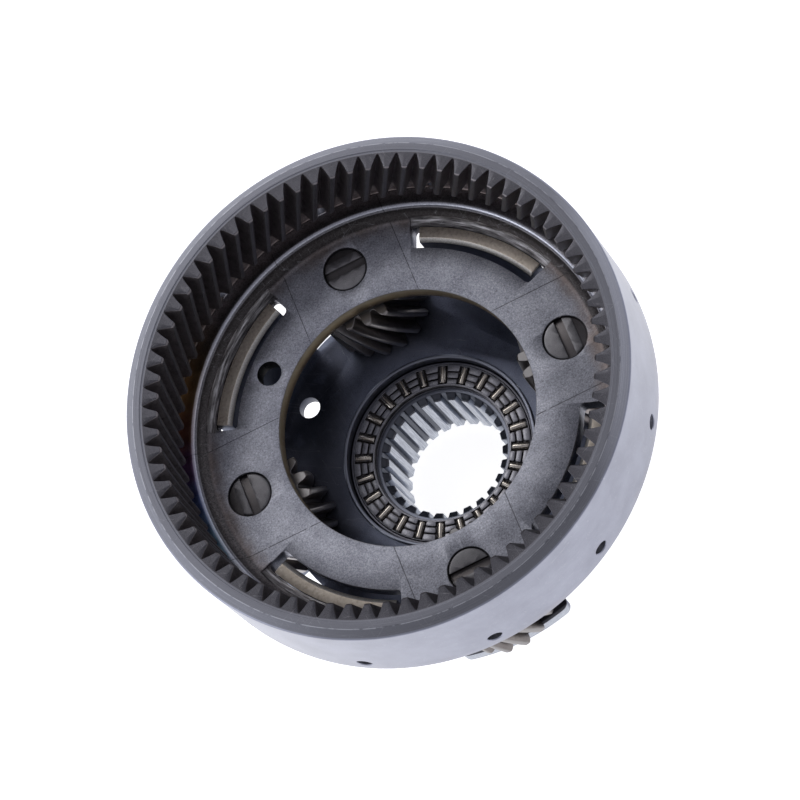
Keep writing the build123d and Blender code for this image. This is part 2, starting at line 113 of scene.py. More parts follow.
def soften(prof, amounts):
    """Round the corners of a closed (r, z) profile, one amount for each corner."""
    out = []
    n = len(prof)
    for i, (p, c) in enumerate(zip(prof, amounts)):
        if c <= 0:
            out.append(p)
            continue
        p0, p1, p2 = np.array(prof[i - 1]), np.array(p), np.array(prof[(i + 1) % n])
        u, v = p0 - p1, p2 - p1
        lu, lv = np.linalg.norm(u), np.linalg.norm(v)
        c = min(c, 0.45 * lu, 0.45 * lv)
        a, b = p1 + u / lu * c, p1 + v / lv * c
        for t in (0.0, 0.25, 0.5, 0.75, 1.0):
            out.append(tuple((1 - t) ** 2 * a + 2 * t * (1 - t) * p1 + t * t * b))
    return out


def apply_mods(ob):
    dg = bpy.context.evaluated_depsgraph_get()
    me = bpy.data.meshes.new_from_object(ob.evaluated_get(dg))
    ob.modifiers.clear()
    old = ob.data
    ob.data = me
    me.name = ob.name
    bpy.data.meshes.remove(old)
    return ob


def cut(ob, cutters, solver="EXACT"):
    for c in cutters:
        md = ob.modifiers.new("cut", "BOOLEAN")
        md.operation = "DIFFERENCE"
        md.solver = solver
        md.object = c
    bpy.context.view_layer.update()
    apply_mods(ob)
    for c in cutters:
        me = c.data
        bpy.data.objects.remove(c)
        bpy.data.meshes.remove(me)
    return ob


def bevel(ob, width, segs=2, angle=32.0, smooth=30.0):
    md = ob.modifiers.new("edge", "BEVEL")
    md.width = width * MM
    md.segments = segs
    md.limit_method = "ANGLE"
    md.angle_limit = math.radians(angle)
    md.use_clamp_overlap = True
    md.miter_outer = "MITER_ARC"
    md.harden_normals = False
    bpy.context.view_layer.update()
    apply_mods(ob)
    shade(ob.data, smooth)
    return ob


def prism(name, outline, z0, z1):
    """Straight prism on a closed outline in the XY plane. Millimetres in."""
    n = len(outline)
    v = [(x * MM, y * MM, z0 * MM) for x, y in outline] + [(x * MM, y * MM, z1 * MM) for x, y in outline]
    f = [tuple(range(n))[::-1], tuple(range(n, 2 * n))]
    f += [(i, (i + 1) % n, n + (i + 1) % n, n + i) for i in range(n)]
    me = bpy.data.meshes.new(name)
    me.from_pydata(v, [], f)
    tidy(me)
    return link(bpy.data.objects.new(name, me))


def round_corners(pts, rad, steps=6):
    """Fillet a closed polyline's sharp corners by quadratic arcs; rad is a list, one for each point."""
    out = []
    n = len(pts)
    for i in range(n):
        if rad[i] <= 0:
            out.append(tuple(pts[i]))
            continue
        p0, p1, p2 = (np.array(pts[(i + d) % n], float) for d in (-1, 0, 1))
        u, v = p0 - p1, p2 - p1
        lu, lv = np.linalg.norm(u), np.linalg.norm(v)
        c = min(rad[i], 0.48 * lu, 0.48 * lv)
        a, b = p1 + u / lu * c, p1 + v / lv * c
        for s in range(steps + 1):
            t = s / steps
            out.append(tuple((1 - t) ** 2 * a + 2 * t * (1 - t) * p1 + t * t * b))
    return out


def join(name, objs):
    """One object out of several mesh objects."""
    bm = bmesh.new()
    for o in objs:
        bm.from_mesh(o.data)
    me = bpy.data.meshes.new(name)
    bm.to_mesh(me)
    bm.free()
    sm = [o for o in objs]
    for o in sm:
        old = o.data
        bpy.data.objects.remove(o)
        bpy.data.meshes.remove(old)
    return link(bpy.data.objects.new(name, me))


# ---------------------------------------------------------------- node tools
class Mat:
    """A metal material built from object-space noise, radius and height."""

    def __init__(self, name):
        self.m = bpy.data.materials.new(name)
        self.m.use_nodes = True
        self.nt = self.m.node_tree
        self.nt.nodes.clear()
        self.out = self.nt.nodes.new("ShaderNodeOutputMaterial")
        self.b = self.nt.nodes.new("ShaderNodeBsdfPrincipled")
        self.nt.links.new(self.b.outputs[0], self.out.inputs[0])
        self.b.inputs["Metallic"].default_value = 1.0
        tc = self.nt.nodes.new("ShaderNodeTexCoord")
        self.P = tc.outputs["Object"]
        sep = self.nt.nodes.new("ShaderNodeSeparateXYZ")
        self.nt.links.new(self.P, sep.inputs[0])
        self.x = self.math("MULTIPLY", sep.outputs[0], 1000.0)
        self.y = self.math("MULTIPLY", sep.outputs[1], 1000.0)
        self.z = self.math("MULTIPLY_ADD", sep.outputs[2], 1000.0, -RISE)
        self.r = self.radius(0.0, 0.0)
        self.bumps = []

    def put(self, sock, v):
        if hasattr(v, "links") or hasattr(v, "is_output"):
            self.nt.links.new(v, sock)
        elif isinstance(v, (tuple, list)):
            sock.default_value = tuple(v) + ((1.0,) if len(v) == 3 and len(sock.default_value) == 4 else ())
        else:
            sock.default_value = v

    def math(self, op, a, b=0.0, c=0.0, clamp=False):
        n = self.nt.nodes.new("ShaderNodeMath")
        n.operation = op
        n.use_clamp = clamp
        for s, v in zip(n.inputs, (a, b, c)):
            self.put(s, v)
        return n.outputs[0]

    def radius(self, cx, cy):
        dx = self.math("SUBTRACT", self.x, cx)
        dy = self.math("SUBTRACT", self.y, cy)
        return self.math("SQRT", self.math("ADD", self.math("MULTIPLY", dx, dx), self.math("MULTIPLY", dy, dy)))

    def angle(self):
        return self.math("ARCTAN2", self.y, self.x)

    def turn(self):
        """The angle round the axis from 0 to a full turn."""
        nx, ny = self.math("MULTIPLY", self.x, -1.0), self.math("MULTIPLY", self.y, -1.0)
        return self.math("ADD", self.math("ARCTAN2", ny, nx), math.pi)

    def vec(self, x, y, z=0.0):
        n = self.nt.nodes.new("ShaderNodeCombineXYZ")
        for s, v in zip(n.inputs, (x, y, z)):
            self.put(s, v)
        return n.outputs[0]

    def pmm(self):
        return self.vec(self.x, self.y, self.z)

    def noise(self, scale, detail=3.0, rough=0.55, vec=None, distort=0.0):
        """scale is features per millimetre."""
        n = self.nt.nodes.new("ShaderNodeTexNoise")
        self.put(n.inputs["Vector"], vec if vec is not None else self.pmm())
        n.inputs["Scale"].default_value = scale
        n.inputs["Detail"].default_value = detail
        n.inputs["Roughness"].default_value = rough
        n.inputs["Distortion"].default_value = distort
        return n.outputs[0]

    def voronoi(self, scale, vec=None, feature="F1"):
        n = self.nt.nodes.new("ShaderNodeTexVoronoi")
        n.feature = feature
        self.put(n.inputs["Vector"], vec if vec is not None else self.pmm())
        n.inputs["Scale"].default_value = scale
        return n.outputs[0]

    def step(self, v, lo, hi, a=0.0, b=1.0):
        """Smooth step of v from lo to hi, giving a to b."""
        n = self.nt.nodes.new("ShaderNodeMapRange")
        n.interpolation_type = "SMOOTHSTEP"
        for s, q in zip(n.inputs, (v, lo, hi, a, b)):
            self.put(s, q)
        return n.outputs[0]

    def band(self, v, lo, hi, soft):
        return self.math(
            "MULTIPLY", self.step(v, lo - soft, lo + soft), self.step(v, hi - soft, hi + soft, 1.0, 0.0)
        )

    def ramp(self, fac, stops, mode="EASE"):
        n = self.nt.nodes.new("ShaderNodeValToRGB")
        n.color_ramp.interpolation = mode
        e = n.color_ramp.elements
        while len(e) > 1:
            e.remove(e[-1])
        e[0].position = stops[0][0]
        e[0].color = tuple(stops[0][1]) + (1.0,)
        for p, c in stops[1:]:
            q = e.new(p)
            q.color = tuple(c) + (1.0,)
        self.put(n.inputs[0], fac)
        return n.outputs[0]

    def mix(self, fac, a, b, blend="MIX"):
        n = self.nt.nodes.new("ShaderNodeMix")
        n.data_type = "RGBA"
        n.blend_type = blend
        self.put(n.inputs[0], fac)
        self.put(n.inputs[6], a)
        self.put(n.inputs[7], b)
        return n.outputs[2]

    def lerp(self, fac, a, b):
        n = self.nt.nodes.new("ShaderNodeMix")
        n.data_type = "FLOAT"
        self.put(n.inputs[0], fac)
        self.put(n.inputs[2], a)
        self.put(n.inputs[3], b)
        return n.outputs[0]

    def mul(self, a, b):
        return self.math("MULTIPLY", a, b)

    def add(self, a, b):
        return self.math("ADD", a, b)

    def bump(self, height, dist_mm, strength=1.0):
        n = self.nt.nodes.new("ShaderNodeBump")
        n.inputs["Strength"].default_value = strength
        n.inputs["Distance"].default_value = dist_mm * MM
        self.put(n.inputs["Height"], height)
        if self.bumps:
            self.nt.links.new(self.bumps[-1], n.inputs["Normal"])
        self.bumps.append(n.outputs[0])

    def done(self, color, rough):
        self.put(self.b.inputs["Base Color"], color)
        self.put(self.b.inputs["Roughness"], rough)
        if self.bumps:
            self.nt.links.new(self.bumps[-1], self.b.inputs["Normal"])
        return self.m


def dirt_specks(m, amount=0.5, size=2.2):
    """Small dark specks and pale specks, 0 to 1 about 0.5."""
    return m.math("ADD", m.mul(m.math("SUBTRACT", m.noise(size, 4.0, 0.7), 0.5), amount), 0.5)


def scratches(m, density=1.0, seed=0.0):
    """Thin random hairlines, 1 on a scratch."""
    total = None
    for k, (a, sx) in enumerate(((0.4, 0.9), (1.7, 1.3), (2.6, 0.7))):
        u = m.add(m.mul(m.x, math.cos(a) * 0.05), m.mul(m.y, math.sin(a) * 0.05))
        v = m.add(m.mul(m.x, -math.sin(a) * sx), m.mul(m.y, math.cos(a) * sx))
        n = m.noise(density, 2.0, 0.4, m.vec(u, v, m.add(m.mul(m.z, 0.3), seed + 9.0 * k)))
        s = m.band(n, 0.655, 0.662, 0.003)
        total = s if total is None else m.math("MAXIMUM", total, s)
    return total


# ---------------------------------------------------------------- materials
def heat(m):
    """Where the weld has tinted the steel: a patch of the circle, with a ragged edge."""
    a = m.add(m.turn(), m.mul(m.math("SUBTRACT", m.noise(0.25, 3.0, 0.6), 0.5), 0.20))
    return m.mul(m.band(a, 2.30, 3.50, 0.12), 0.78)


def heat_colour(m):
    t = m.math("MULTIPLY_ADD", m.add(m.turn(), m.mul(m.math("SUBTRACT", m.noise(0.4, 3.0, 0.6), 0.5), 0.12)), 0.84, -1.95, True)
    return m.ramp(t, [(0.04, (0.26, 0.19, 0.12)), (0.20, (0.52, 0.35, 0.16)), (0.36, (0.38, 0.18, 0.12)), (0.50, (0.27, 0.13, 0.34)), (0.64, (0.12, 0.19, 0.48)), (0.82, (0.16, 0.30, 0.42)), (0.97, (0.22, 0.23, 0.27))])


def painted_side_light(m, lo, hi, deg=140.0, reach=46.0):
    """Painted light: a slow change of shade across the part, lighter on one side, put into the colour where the light
    falls unevenly.
    """
    d = m.add(m.mul(m.x, math.cos(math.radians(deg))), m.mul(m.y, math.sin(math.radians(deg))))
    return m.step(m.add(d, m.mul(m.math("SUBTRACT", m.noise(0.06, 3.0, 0.6), 0.5), 26.0)), -reach, reach, lo, hi)


def mat_drum():
    m = Mat("drum_metal")
    outer = m.step(m.r, 66.9, 67.3)
    teeth = m.mul(m.step(m.r, 62.75, 62.55), m.step(m.z, 60.5, 61.0))
    teeth_front = m.mul(teeth, m.step(m.z, 80.3, 80.45))
    groove = m.mul(m.step(m.r, 63.4, 63.1), m.step(m.z, 61.3, 61.0))
    fine = m.noise(7.0, 4.0, 0.65)
    blot = m.noise(0.10, 4.0, 0.6)
    ang = m.angle()
    # grinding lines run round the outside, turning lines round the front face
    lines_z = m.noise(1.0, 3.0, 0.6, m.vec(m.mul(m.z, 9.0), m.mul(ang, 1.2), 0.0))
    lines_r = m.noise(1.0, 3.0, 0.6, m.vec(m.mul(m.r, 8.0), m.mul(ang, 1.4), 3.0))
    col_out = m.ramp(m.add(m.mul(blot, 0.6), m.mul(lines_z, 0.4)), [(0.30, (0.232, 0.240, 0.296)), (0.70, (0.302, 0.313, 0.382))])
    col_rim = m.ramp(m.add(m.mul(fine, 0.45), m.mul(lines_r, 0.55)), [(0.26, (0.125, 0.128, 0.148)), (0.50, (0.215, 0.219, 0.252)), (0.66, (0.29, 0.296, 0.335)), (0.82, (0.48, 0.49, 0.53))])
    flat = m.step(m.r, 65.12, 65.00)
    # painted light: the rim's flat face and its chamfer are toned lighter on one side, and the chamfer lighter still
    # toward 345 degrees
    k1, k2 = painted_side_light(m, 0.86, 1.10, 140.0, 62.0), painted_side_light(m, 0.74, 1.26, 105.0, 62.0)
    painted_light_345 = m.add(m.mul(m.x, math.cos(math.radians(345.0))), m.mul(m.y, math.sin(math.radians(345.0))))
    k = m.lerp(flat, m.add(k2, m.step(painted_light_345, 50.0, 65.0, 0.0, 0.75)), k1)
    col_rim = m.mix(1.0, col_rim, m.vec(k, k, k), "MULTIPLY")
    col_t = m.ramp(m.add(m.mul(m.noise(0.5, 4.0, 0.6), 0.6), m.mul(m.noise(2.2, 3.0, 0.6), 0.4)), [(0.3, (0.115, 0.102, 0.106)), (0.55, (0.195, 0.178, 0.186)), (0.75, (0.29, 0.272, 0.282))])
    # painted light: the teeth are toned lighter on one side and darker on the other
    kt = painted_side_light(m, 0.60, 1.30, 105.0, 60.0)
    col_t = m.mix(1.0, col_t, m.vec(kt, kt, kt), "MULTIPLY")
    tip = m.mul(teeth, m.step(m.r, 58.62, 58.40))
    col_t = m.mix(m.mul(tip, 0.8), col_t, (0.125, 0.120, 0.130))
    col_t = m.mix(teeth_front, col_t, m.ramp(fine, [(0.3, (0.060, 0.059, 0.068)), (0.7, (0.118, 0.117, 0.134))]))
    # the weld's heat tint shows on one side of the groove
    col_g = m.mix(heat(m), m.ramp(m.noise(0.6, 4.0, 0.6), [(0.3, (0.20, 0.165, 0.160)), (0.7, (0.42, 0.365, 0.355))]), m.mix(0.62, heat_colour(m), (0.060, 0.050, 0.052)))
    # a pale, patchy line along the edge between the rim's chamfer and its flat face
    pale_edge_line = m.mul(m.band(m.r, 64.98, 65.22, 0.05), m.step(m.noise(0.35, 3.0, 0.6), 0.36, 0.52))
    col_rim = m.mix(m.mul(pale_edge_line, 0.7), col_rim, (0.52, 0.53, 0.58))
    col = m.mix(outer, col_rim, col_out)
    col = m.mix(teeth, col, col_t)
    col = m.mix(groove, col, col_g)
    # oil film stains near the oil holes and the rear edge
    stain = m.mul(outer, m.mul(m.step(m.z, 56.0, 51.0), m.step(m.noise(0.22, 4.0, 0.65), 0.50, 0.68)))
    col = m.mix(m.mul(stain, 0.35), col, (0.24, 0.22, 0.24))
    sc = scratches(m, 1.0)
    col = m.mix(m.mul(sc, 0.16), col, (0.62, 0.62, 0.66))
    rough = m.lerp(outer, m.add(0.44, m.mul(fine, 0.22)), m.add(0.26, m.mul(lines_z, 0.16)))
    rough = m.lerp(teeth, rough, m.add(0.30, m.mul(m.noise(1.5, 3.0, 0.6), 0.25)))
    m.bump(m.add(m.mul(lines_z, outer), m.mul(lines_r, m.math("SUBTRACT", 1.0, outer))), 0.010, 0.5)
    m.bump(fine, 0.012, 0.35)
    return m.done(col, rough)


def mat_plate():
    m = Mat("front_plate_metal")
    speck = m.noise(2.1, 6.0, 0.78)
    grain = m.noise(6.5, 3.0, 0.7)
    cloud = m.noise(0.16, 4.0, 0.6)
    tone = m.add(m.add(m.mul(speck, 0.55), m.mul(grain, 0.25)), m.mul(cloud, 0.20))
    base = m.ramp(tone, [(0.38, (0.150, 0.152, 0.178)), (0.47, (0.30, 0.308, 0.358)), (0.54, (0.43, 0.44, 0.50)), (0.63, (0.70, 0.71, 0.78))])
    brown = m.ramp(tone, [(0.32, (0.090, 0.068, 0.060)), (0.53, (0.185, 0.145, 0.128)), (0.70, (0.30, 0.25, 0.225))])
    pits = m.mul(m.step(m.noise(1.0, 5.0, 0.78), 0.45, 0.34), 0.50)
    base = m.mix(pits, base, (0.095, 0.092, 0.108))
    glint = m.mul(m.step(m.noise(1.7, 4.0, 0.8), 0.60, 0.70), 0.40)
    base = m.mix(glint, base, (0.72, 0.74, 0.80))
    # painted light: the plate is toned lighter toward 135 degrees and darker on the far side
    k = painted_side_light(m, 0.66, 1.23, 135.0)
    base = m.mix(1.0, base, m.vec(k, k, k), "MULTIPLY")
    edge = m.step(m.add(m.r, m.mul(m.math("SUBTRACT", m.noise(0.11, 4.0, 0.6), 0.5), 10.0)), 49.5, 56.0)
    col = m.mix(m.mul(edge, 0.85), base, brown)
    # painted shade: the inner corner of the cup is painted near black, and darker still toward 75 degrees
    corner = m.mul(m.band(m.r, 54.9, 57.75, 0.45), m.step(m.z, 54.75, 54.3))
    corner_shade = m.ramp(speck, [(0.35, (0.040, 0.037, 0.040)), (0.65, (0.125, 0.118, 0.122))])
    kc = painted_side_light(m, 1.60, 0.42, 75.0, 50.0)
    corner_shade = m.mix(1.0, corner_shade, m.vec(kc, kc, kc), "MULTIPLY")
    col = m.mix(m.mul(corner, 0.90), col, corner_shade)
    # burnished hollows beside the slots
    hol = m.mul(m.band(m.r, 53.0, 55.9, 0.08), m.mul(m.step(m.z, 52.55, 52.35), m.step(m.math("ABSOLUTE", m.math("SUBTRACT", m.math("PINGPONG", m.add(m.angle(), TAU), math.pi / 4), math.pi / 4)), 0.398, 0.385)))
    streak = m.noise(1.0, 4.0, 0.65, m.vec(m.mul(m.r, 2.4), m.mul(m.angle(), 9.0), m.mul(m.z, 1.2)))
    col = m.mix(hol, col, m.ramp(streak, [(0.34, (0.055, 0.051, 0.054)), (0.50, (0.185, 0.177, 0.182)), (0.62, (0.42, 0.41, 0.43)), (0.76, (0.76, 0.75, 0.77))]))
    # golden heat tint on the wall of the centre hole and the rounded rim of the cup
    hole = m.mul(m.step(m.r, 35.6, 35.2), m.step(m.z, 51.95, 51.7))
    gold = m.ramp(m.add(m.step(m.z, 47.0, 52.0, 0.0, 0.6), m.mul(m.noise(0.2, 3.0, 0.6), 0.4)), [(0.1, (0.11, 0.08, 0.055)), (0.5, (0.30, 0.235, 0.15)), (0.9, (0.44, 0.38, 0.29))])
    col = m.mix(hole, col, gold)
    rim = m.step(m.z, 54.2, 54.9)
    ang = m.angle()
    tint = m.mix(heat(m), m.ramp(speck, [(0.35, (0.15, 0.145, 0.16)), (0.65, (0.33, 0.32, 0.35))]), heat_colour(m))
    ring = m.ramp(speck, [(0.3, (0.30, 0.31, 0.36)), (0.7, (0.52, 0.53, 0.60))])
    ring = m.mix(m.math("MAXIMUM", m.step(m.r, 58.1, 58.8), m.mul(heat(m), m.step(m.r, 57.5, 58.1, 0.0, 0.35))), ring, tint)
    col = m.mix(rim, col, ring)
    # painted shade: the wall of the small hole and the gaps round the pins are painted near black
    hole_shade = m.mul(m.step(m.radius(41.25 * math.cos(math.radians(135.6)), 41.25 * math.sin(math.radians(135.6))), 3.75, 3.45), m.step(m.z, 51.95, 51.8))
    for q in range(4):
        rp = m.radius(PIN_C * math.cos(q * math.pi / 2), PIN_C * math.sin(q * math.pi / 2))
        hole_shade = m.math("MAXIMUM", hole_shade, m.mul(m.step(rp, 6.22, 6.08), 0.92))
    col = m.mix(hole_shade, col, (0.012, 0.011, 0.012))
    # two scribed lines beside each pin
    ax, ay = m.math("ABSOLUTE", m.x), m.math("ABSOLUTE", m.y)
    d1 = m.math("ABSOLUTE", m.math("SUBTRACT", m.math("MINIMUM", ax, ay), 16.07))
    line = m.mul(m.step(d1, 0.16, 0.05), m.step(m.z, 51.9, 51.98))
    line = m.mul(line, m.step(m.noise(0.5, 2.0, 0.5), 0.30, 0.45))
    col = m.mix(m.mul(line, 0.75), col, (0.05, 0.048, 0.05))
    sc = scratches(m, 0.8, 4.0)
    col = m.mix(m.mul(sc, 0.22), col, (0.60, 0.60, 0.64))
    rough = m.add(0.36, m.mul(speck, 0.26))
    rough = m.lerp(rim, rough, 0.28)
    m.bump(m.math("SUBTRACT", 1.0, line), 0.05, 0.6)
    m.bump(speck, 0.034, 0.5)
    m.bump(grain, 0.010, 0.4)
    return m.done(col, rough)


def mat_stamped():
    m = Mat("stamped_metal")
    grain = m.noise(3.0, 5.0, 0.7)
    cloud = m.noise(0.15, 4.0, 0.6)
    tone = m.add(m.mul(grain, 0.6), m.mul(cloud, 0.4))
    navy = m.ramp(tone, [(0.32, (0.085, 0.095, 0.135)), (0.55, (0.155, 0.17, 0.225)), (0.72, (0.24, 0.255, 0.32))])
    tan = m.ramp(m.add(m.mul(m.noise(1.2, 4.0, 0.65), 0.7), m.mul(cloud, 0.3)), [(0.32, (0.145, 0.125, 0.105)), (0.52, (0.195, 0.175, 0.152)), (0.72, (0.245, 0.225, 0.200))])
    leg = m.mul(m.step(m.z, 49.9, 50.9), m.step(m.r, 48.5, 48.9))
    cham = m.mul(m.band(m.r, 48.9, 50.05, 0.06), m.band(m.z, 50.0, 50.97, 0.04))
    pale = m.ramp(grain, [(0.3, (0.42, 0.40, 0.38)), (0.7, (0.66, 0.64, 0.62))])
    lobe = m.mul(m.step(m.r, 56.9, 57.7), m.step(m.z, 23.0, 22.5))
    shelf_shade = m.mul(m.step(m.r, 49.5, 50.5), m.mul(m.step(m.z, 22.4, 22.65), m.step(m.z, 30.0, 26.0)))
    # painted light: the tops of the legs are toned lighter toward 95 degrees
    k = painted_side_light(m, 2.1, 3.9, 95.0, 50.0)
    tan = m.mix(1.0, tan, m.vec(k, k, k), "MULTIPLY")
    # painted shade: the rear plate is painted darker toward 165 degrees, in ragged patches inside 46 mm
    oil = m.mul(m.step(m.add(m.mul(m.x, -0.966), m.mul(m.y, 0.26)), 18.0, 30.0), m.step(m.noise(0.12, 3.0, 0.6), 0.25, 0.45))
    oil = m.mul(oil, m.step(m.r, 46.5, 44.5))
    navy = m.mix(m.mul(oil, 0.6), navy, (0.040, 0.040, 0.048))
    col = m.mix(leg, navy, tan)
    # painted shade: the lobes' top faces, and the outside of the legs' bends just above them, are painted near black
    col = m.mix(m.mul(shelf_shade, 0.85), col, (0.02, 0.018, 0.02))
    col = m.mix(cham, col, pale)
    col = m.mix(lobe, col, m.ramp(grain, [(0.3, (0.30, 0.32, 0.37)), (0.7, (0.50, 0.52, 0.57))]))
    sc = scratches(m, 0.7, 11.0)
    col = m.mix(m.mul(sc, 0.18), col, (0.45, 0.46, 0.50))
    m.bump(grain, 0.03, 0.4)
    # painted light: the top of one leg is made a little less metallic toward 145 degrees, so that it shows lighter
    # there
    side = m.add(m.mul(m.x, math.cos(math.radians(145.0))), m.mul(m.y, math.sin(math.radians(145.0))))
    m.put(m.b.inputs["Metallic"], m.math("SUBTRACT", 1.0, m.mul(m.mul(leg, m.step(side, 15.0, 42.0)), 0.13)))
    return m.done(col, m.add(0.34, m.mul(grain, 0.25)))


def mat_hub():
    m = Mat("hub_metal")
    fine = m.noise(5.0, 4.0, 0.65)
    cloud = m.noise(0.2, 4.0, 0.6)
    ang = m.angle()
    turn = m.noise(1.0, 3.0, 0.6, m.vec(m.mul(m.add(m.r, m.z), 5.0), m.mul(ang, 1.0), 0.0))
    tone = m.add(m.mul(fine, 0.35), m.add(m.mul(cloud, 0.30), m.mul(turn, 0.35)))
    col = m.ramp(tone, [(0.3, (0.15, 0.16, 0.20)), (0.52, (0.25, 0.265, 0.32)), (0.72, (0.36, 0.38, 0.44))])
    spl = m.mul(m.step(m.r, 17.62, 17.52), m.step(m.z, 18.2, 17.9))
    root = m.mul(spl, m.step(m.r, 17.0, 17.4))
    tip = m.step(m.r, 16.3, 15.98)
    pale = m.ramp(fine, [(0.3, (0.34, 0.37, 0.44)), (0.7, (0.56, 0.60, 0.68))])
    col = m.mix(m.mul(spl, 0.55), col, pale)
    # painted shade: the spline's roots are painted near black
    col = m.mix(m.mul(root, 0.85), col, (0.055, 0.06, 0.08))
    col = m.mix(m.mul(tip, 0.7), col, m.ramp(m.noise(1.0, 3.0, 0.6, m.vec(m.mul(m.angle(), 60.0), 0.0, m.mul(m.z, 0.15))), [(0.35, (0.30, 0.32, 0.38)), (0.65, (0.66, 0.69, 0.76))]))
    col = m.mix(m.mul(m.band(m.r, 16.2, 17.9, 0.15), m.step(m.z, 17.2, 17.5)), col, (0.13, 0.14, 0.17))
    m.bump(turn, 0.012, 0.5)
    m.bump(fine, 0.012, 0.35)
    return m.done(col, m.add(0.26, m.mul(fine, 0.22)))


def mat_pin(i):
    a = math.radians(90 * i)
    m = Mat(f"pin_metal_{i + 1}")
    fine = m.noise(4.0, 5.0, 0.7)
    cloud = m.noise(0.5, 4.0, 0.6)
    tone = m.add(m.mul(fine, 0.6), m.mul(cloud, 0.4))
    col = m.ramp(tone, [(0.3, (0.17, 0.165, 0.17)), (0.52, (0.29, 0.285, 0.295)), (0.72, (0.42, 0.41, 0.42))])
    # painted light: each pin's colour is scaled by its own factor, lighter or darker as the light falls on that pin
    k = (0.56, 0.95, 0.62, 0.38)[i]
    col = m.mix(1.0, col, (k, k, k * 1.03), "MULTIPLY")
    rr = m.radius(PIN_C * math.cos(a), PIN_C * math.sin(a))
    # painted shade: a dark ring on the pin's rounded top edge, in the gap to the plate
    rim = m.step(rr, 5.5, 5.72)
    col = m.mix(m.mul(rim, m.mul(0.85, m.step(m.z, 51.0, 51.8))), col, (0.03, 0.028, 0.03))
    slot = m.step(m.z, 51.85, 51.3)
    col = m.mix(m.mul(slot, 0.55), col, (0.11, 0.095, 0.09))
    m.bump(fine, 0.02, 0.4)
    return m.done(col, m.add(0.30, m.mul(fine, 0.22)))


def mat_pinion(i):
    a = math.radians(90 * i)
    m = Mat(f"pinion_metal_{i + 1}")
    fine = m.noise(4.5, 4.0, 0.65)
    cloud = m.noise(0.35, 4.0, 0.6)
    rr = m.radius(PIN_C * math.cos(a), PIN_C * math.sin(a))
    tone = m.add(m.mul(fine, 0.5), m.mul(cloud, 0.5))
    col = m.ramp(tone, [(0.3, (0.17, 0.15, 0.145)), (0.52, (0.27, 0.245, 0.238)), (0.72, (0.37, 0.345, 0.34))])
    tip = m.step(rr, 14.55, 14.85)
    col = m.mix(m.mul(tip, 0.7), col, (0.43, 0.415, 0.42))
    # painted shade: the tooth roots are painted darker
    root = m.step(rr, 12.6, 11.7)
    col = m.mix(m.mul(root, 0.7), col, (0.10, 0.088, 0.085))
    endf = m.math("MAXIMUM", m.step(m.z, 46.0, 46.08), m.step(m.z, 23.7, 23.62))
    lap = m.noise(1.0, 2.0, 0.5, m.vec(m.mul(rr, 6.0), 0.0, 0.0))
    # painted shade: the fourth pinion is painted darker than the others
    pinion_shade = (0.95, 1.0, 1.0, 0.66)[i]
    col = m.mix(1.0, col, (pinion_shade, pinion_shade, pinion_shade), "MULTIPLY")
    col = m.mix(m.mul(endf, 0.6), col, m.ramp(lap, [(0.3, (0.27, 0.27, 0.28)), (0.7, (0.42, 0.42, 0.43))]))
    hob = m.noise(1.0, 2.0, 0.5, m.vec(m.mul(m.z, 3.2), m.mul(rr, 1.0), 5.0))
    m.bump(hob, 0.008, 0.5)
    m.bump(fine, 0.012, 0.35)
    return m.done(col, m.add(0.24, m.mul(fine, 0.22)))


def mat_plain(name, lo, mid, hi, rough=0.28, scale=4.0, seed=0.0, bump=0.012):
    m = Mat(name)
    fine = m.noise(scale, 4.0, 0.65, m.vec(m.add(m.x, seed), m.y, m.z))
    cloud = m.noise(0.4, 3.0, 0.6)
    tone = m.add(m.mul(fine, 0.6), m.mul(cloud, 0.4))
    col = m.ramp(tone, [(0.3, lo), (0.52, mid), (0.72, hi)])
    m.bump(fine, bump, 0.4)
    return m.done(col, m.add(rough, m.mul(fine, 0.2)))


# ---------------------------------------------------------------- ring gear drum
def ring_profile():
    """One tooth pitch of the internal gear, centred on a gap: (radius, angle, flank sign)."""
    p = TAU / RING_TEETH
    h = lambda r: half(r, RING_TEETH, RING_PITCH_R)
    side = [(RING_TIP_R, p / 2), (RING_TIP_R, h(RING_TIP_R) + 0.30 / RING_TIP_R),
            (RING_TIP_R + 0.09, h(RING_TIP_R + 0.09) + 0.085 / RING_TIP_R)]
    for r in (RING_TIP_R + 0.32, RING_TIP_R + 1.2, RING_TIP_R + 2.2, RING_TIP_R + 3.2, RING_ROOT_R - 0.22):
        side.append((r, h(r)))
    pts = [(r, -a) for r, a in side] + [(RING_ROOT_R, 0.0)] + [(r, a) for r, a in reversed(side[1:])]
    return np.array(pts)


RP = ring_profile()
RP_R = np.tile(RP[:, 0], RING_TEETH)
RP_A = np.concatenate([RP[:, 1] + TAU * k / RING_TEETH for k in range(RING_TEETH)])
RP_S = np.tile(np.sign(RP[:, 1]), RING_TEETH)


def ring_section(z, grow=0.0, floor_r=0.0):
    turn = (80.5 - z) * math.tan(HELIX) / RING_PITCH_R
    r = np.maximum(RP_R + grow, floor_r)
    a = RP_A + RP_S * grow / RP_R + turn
    return np.stack([r * np.cos(a), r * np.sin(a), np.full(len(a), z)], 1)


